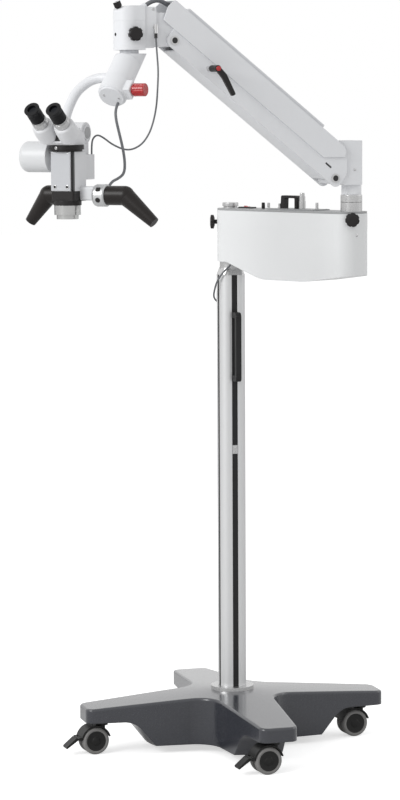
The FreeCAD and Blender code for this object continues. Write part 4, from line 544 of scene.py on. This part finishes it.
# Inclined joint: a cast cylinder that turns on a sloping axis under the elbow; its
# end cap holds two screws, and the fluted red knob clamps it.
dress(arm_white, "incline_cylinder")
incline_frame = ((-0.41572, -0.48589, 1.89603), (0.73728, -0.67559, 0), (-0.47771, -0.52133, -0.70711))
end_cap_face = 0.1409
for label, x, y in (("left", -0.018, 0.007), ("right", 0.0205, -0.0035)):
    screw(f"incline_screw_{label}", 0.0030, seat(incline_frame, (x, y, end_cap_face)), "incline")

# Optical head: a tall moulded housing over a black band. Its grey front panel is held
# by two screws and two plugs in steel rings. The dovetail ring sits above it, the white
# drum at its side, and a black block fills the gap between the eyepiece tubes.
head_frame = ((-0.61061, -0.60976, 0), (0.73728, -0.67559, 0), (0, 0, 1))
head_white = finish("head_white", (0.69, 0.695, 0.71), (0.66, 0.665, 0.68), 0.2, 0.0008, 0.00005, 0.4,
                    edge=0.0015)
# A dark strip down the corner groove beside the front panel is painted shade.
inlay(head_white, head_frame, (0.0243, -0.0268, 1.560), (0.0316, -0.0196, 1.670), (0.05, 0.05, 0.052), 0.5)
inlay(head_white, head_frame, (-0.0450, -0.0305, 1.560), (0.0450, -0.0272, 1.680), (0.49, 0.50, 0.52), 0.4)
dress(head_white, "head_shell", "tilt_hub", "binocular_body", "prism_housing_left", "prism_housing_right")
drum_white = finish("drum_white", (0.66, 0.67, 0.68), (0.63, 0.64, 0.65), 0.2, 0.0008, 0.00005, 0.38,
                    edge=0.0015)
dress(drum_white, "side_drum")
dress(knob_black, "head_band", "dovetail_ring")
panel_face = -0.029
for label, x in (("top_left", -0.026), ("top_right", 0.0165)):
    screw(f"panel_screw_{label}", 0.0020, seat(head_frame, (x, panel_face, 1.6588), (0, -1, 0)), "head")
for label, x in (("left", -0.0195), ("right", 0.0150)):
    plug_seat = seat(head_frame, (x, panel_face, 1.5765), (0, -1, 0))
    turned(f"panel_ring_{label}", [
        (0.0029, 0), (0.0048, 0), (0.0048, 0.0010, 0.0004), (0.0036, 0.0014, 0.0003), (0.0029, 0.0004)],
        plug_seat, turned_steel, "head", around=40)
    turned(f"panel_plug_{label}", [(0.0002, 0), (0.0029, 0), (0.0029, 0.0004), (0.0002, 0.0005)],
           plug_seat, slot_black, "head", around=32)
screw("dovetail_screw", 0.0040, seat(head_frame, (-0.008, -0.0416, 1.6723), (-0.19, -0.98, 0)), "head")
block("tube_gap_block", (-0.0160, -0.0490, 1.6850), (0.0080, -0.0420, 1.7080), head_frame, slot_black,
      "head", corner=0.0015)
turned("tilt_disc", [(0.0002, 0), (0.0150, 0), (0.0150, 0.0008, 0.0003), (0.0002, 0.0009)],
       seat(head_frame, (0.0239, 0.063, 1.709), (1, 0, 0)), lid_grey, "head")

# Objective: a turned and brushed ring, screwed in under the band, with a dark coated
# lens recessed in its lower end.
lens_steel = finish("lens_steel", (0.58, 0.58, 0.575), (0.48, 0.48, 0.475), 0.012, 0.0005, 0.00003, 0.24,
                    metal=0.95, edge=0.0008, streak=(0.1, 0.1, 1))
inlay(lens_steel, head_frame, (0, 0, 1.4990), (0.0242, 0, 1.5080), (0.012, 0.014, 0.022), 0.08, round_=True)
dress(lens_steel, "objective")

# Eyepieces: ribbed black rubber cups on turned steel rings, with a dark lens
# recessed in each.
eye_rubber = finish("eye_rubber", (0.006, 0.006, 0.007), (0.010, 0.010, 0.011), 0.01, 0.0005, 0.00008, 0.5,
                    edge=0.0004, shine=0.2)
lens_glass = finish("lens_glass", (0.004, 0.005, 0.008), (0.005, 0.006, 0.009), 0.02, 0.0010, 0.00001, 0.12,
                    edge=0.0003, shine=0.2)
tube_up = math.radians(38)
half_eye_distance = 0.030
cup_bore = 0.0112
cup_wall = 0.0178
rib_pitch = 0.0036
for name, side in (("left", -1), ("right", 1)):
    cup_end = (half_eye_distance * side, -0.124, 1.769)
    tube = seat(head_frame, cup_end, (0, math.cos(tube_up), -math.sin(tube_up)))
    ribs = [(cup_bore, 0.0060), (cup_bore, 0.0002), (0.0200, 0.0002, 0.0006), (0.0196, 0.0030),
            (cup_wall, 0.0105, 0.002), (cup_wall, 0.0140)]
    for rib in range(7):
        start = 0.0145 + rib * rib_pitch
        ribs += [(cup_wall, start), (0.0185, start + 0.0004), (0.0185, start + 0.0026),
                 (cup_wall, start + 0.0030)]
    ribs += [(cup_wall, 0.0400), (0.0152, 0.0404), (0.0152, 0.0568), (0.0130, 0.0568), (0.0130, 0.0420),
             (cup_bore, 0.0420)]
    cup = turned(f"eyecup_{name}", ribs, tube, eye_rubber, f"eyepiece_{name}", around=64, steps=4)
    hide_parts(f"eyepiece_{name}")
    turned(f"eye_ring_{name}", [
        (0.0154, 0.0404), (0.0186, 0.0404), (0.0186, 0.0446, 0.0004), (0.0154, 0.0446)],
        tube, turned_steel, f"eyepiece_{name}", around=64)
    turned(f"eye_lens_{name}", [
        (0.0002, 0.0075), (0.0060, 0.0070), (0.0111, 0.0060), (0.0111, 0.0560), (0.0002, 0.0560)],
        tube, lens_glass, f"eyepiece_{name}", around=48)
    turned(f"tube_ring_{name}", [
        (0.0186, 0.0450), (0.0197, 0.0450, 0.0002), (0.0197, 0.0640, 0.0002), (0.0186, 0.0640)],
        tube, turned_steel, f"tube_{name}", around=64)

# Handles: a painted bracket with a turned clamp, two black push buttons on it, and
# moulded grips in black-brown plastic.
clamp_silver = finish("clamp_silver", (0.58, 0.585, 0.59), (0.53, 0.535, 0.54), 0.03, 0.0005, 0.00003, 0.34,
                      metal=0.55, edge=0.0008)
inlay(clamp_silver, head_frame, (0.020, -0.050, 1.500), (0.0678, 0.100, 1.600), (0.66, 0.67, 0.685), 0.4)
dress(clamp_silver, "handle_mounts")
grip_brown = finish("grip_brown", (0.011, 0.009, 0.008), (0.016, 0.013, 0.012), 0.03, 0.0005, 0.00005, 0.36,
                    edge=0.001, shine=0.25)
dress(grip_brown, "grip_left", "grip_right")
clamp_centre = (0.085, 0.025, 1.555)
clamp_radius = 0.0277
for label, angle, radius in (("square", 32, 0.0056), ("round", -23, 0.0064)):
    way = (0, -math.cos(math.radians(angle)), math.sin(math.radians(angle)))
    spot = np.add(clamp_centre, np.multiply(way, clamp_radius))
    origin, x, z = seat(head_frame, spot, way)
    if label == "round":
        turned("round_button", [(0.0002, 0), (radius, 0), (radius, 0.0018, 0.0006), (0.0002, 0.0022)],
               (origin, x, z), knob_black, "head", around=36)
    else:
        block("square_button", (-radius, -radius, 0), (radius, radius, 0.0020), (origin, head_frame[1], z),
              knob_black, "head", corner=0.0012)

# Cables: thin grey sheathed leads that hang in open loops between the moving pieces; a thicker hose
# bridges the elbow.
sheath = finish("sheath", (0.145, 0.150, 0.160), (0.125, 0.130, 0.140), 0.02, 0.0006, 0.00005, 0.5,
                edge=0.0003)


def route_line(name, points):
    """The line of a cable: a NURBS spline of order 3 with the route's points as its control points, from
    the first to the last, read back as points close together."""
    curve = bpy.data.curves.new(name + "_route", "CURVE")
    curve.dimensions = "3D"
    spline = curve.splines.new("NURBS")
    spline.points.add(len(points) - 1)
    spline.points.foreach_set("co", np.column_stack([points, np.ones(len(points))]).ravel())
    spline.order_u = 3
    spline.use_endpoint_u = True
    spline.resolution_u = 16
    held = bpy.data.objects.new(name + "_route", curve)
    scene.collection.objects.link(held)
    bpy.context.view_layer.update()
    line = bpy.data.meshes.new_from_object(held)
    co = np.zeros(len(line.vertices) * 3)
    line.vertices.foreach_get("co", co)
    bpy.data.objects.remove(held)
    bpy.data.meshes.remove(line)
    return co.reshape(-1, 3)


def tube_along(name, line, radius, material, body, around=14):
    """A round tube: each point of the line carries a circle, point + radius * (cos a * side + sin a *
    across). The side is that of the circle before it, made square to the line again, so that the tube
    doesn't twist."""
    askew = (0.3, 0.5, 0.8)
    way = np.gradient(line, axis=0)
    way /= np.linalg.norm(way, axis=1)[:, None]
    side = np.cross(way[0], askew)
    sides = []
    for step in way:
        side = side - (side @ step) * step
        side = side / np.linalg.norm(side)
        sides.append(side)
    sides = np.array(sides)
    across = np.cross(way, sides)
    angle = np.linspace(0, 2 * math.pi, around, endpoint=False)
    circle = np.cos(angle)[None, :, None] * sides[:, None] + np.sin(angle)[None, :, None] * across[:, None]
    return surface(name, line[:, None] + radius * circle, material, body)


head_cable_route = np.array([
    (-464.7, -557.1, 1782.2), (-474.3, -567.5, 1768.1), (-476, -575, 1744), (-469, -579, 1710),
    (-461, -584, 1672), (-457, -590, 1636), (-461, -599, 1608), (-478, -611, 1596),
    (-503.9, -629.5, 1587.5), (-512.5, -638.9, 1574.8)]) / 1000
line = route_line("head_cable", head_cable_route)
cable = tube_along("head_cable_visual", line, 0.0035, sheath, None)
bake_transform(cable)
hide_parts("head_cable")

column_lead_route = np.array([
    (-13, -39, 1338), (-26, -41, 1328), (-38, -34, 1312), (-46, -17, 1291), (-46, 3, 1268), (-43, 22, 1250),
    (-32, 38, 1238), (-18, 43.5, 1228), (-5, 43.5, 1228)]) / 1000
line = route_line("column_lead", column_lead_route)
cable = tube_along("column_lead_visual", line, 0.0025, sheath, "base")
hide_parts("column_lead")

elbow_cable_route = np.array([
    (-355.9, -524, 1944), (-354, -526, 1905), (-352, -531, 1862), (-356, -537, 1818), (-360, -542, 1778),
    (-369, -548, 1740), (-383, -553, 1704), (-406, -556, 1675), (-440, -556, 1662), (-478, -555, 1677),
    (-504, -556, 1697), (-520, -557, 1704), (-532, -558.5, 1694), (-535, -559.7, 1675),
    (-534.9, -559.7, 1655.4)]) / 1000
line = route_line("elbow_cable", elbow_cable_route)
first, second = len(line) // 3, len(line) * 2 // 3
runs = (("elbow_cable_upper", line[:first + 1], "elbow", "swivel"),
        ("elbow_cable_middle", line[first:second + 1], "swivel", "incline"),
        ("elbow_cable_lower", line[second:], "incline", "head"))
for label, run, upper, lower in runs:
    cable = tube_along(label, run, 0.00225, sheath, None)
    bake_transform(cable)
    if upper == "elbow":
        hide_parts("elbow_cable")

hose_route = np.array([
    (-370.2, -479.1, 2027.8), (-352.9, -476.5, 2039), (-331.1, -473.2, 2041), (-309.4, -470, 2030),
    (-289.6, -467, 2015), (-269.8, -464.1, 1998)]) / 1000
line = route_line("arm_hose", hose_route)
cable = tube_along("arm_hose_visual", line, 0.0055, sheath, None, around=20)
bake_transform(cable)
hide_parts("arm_hose")
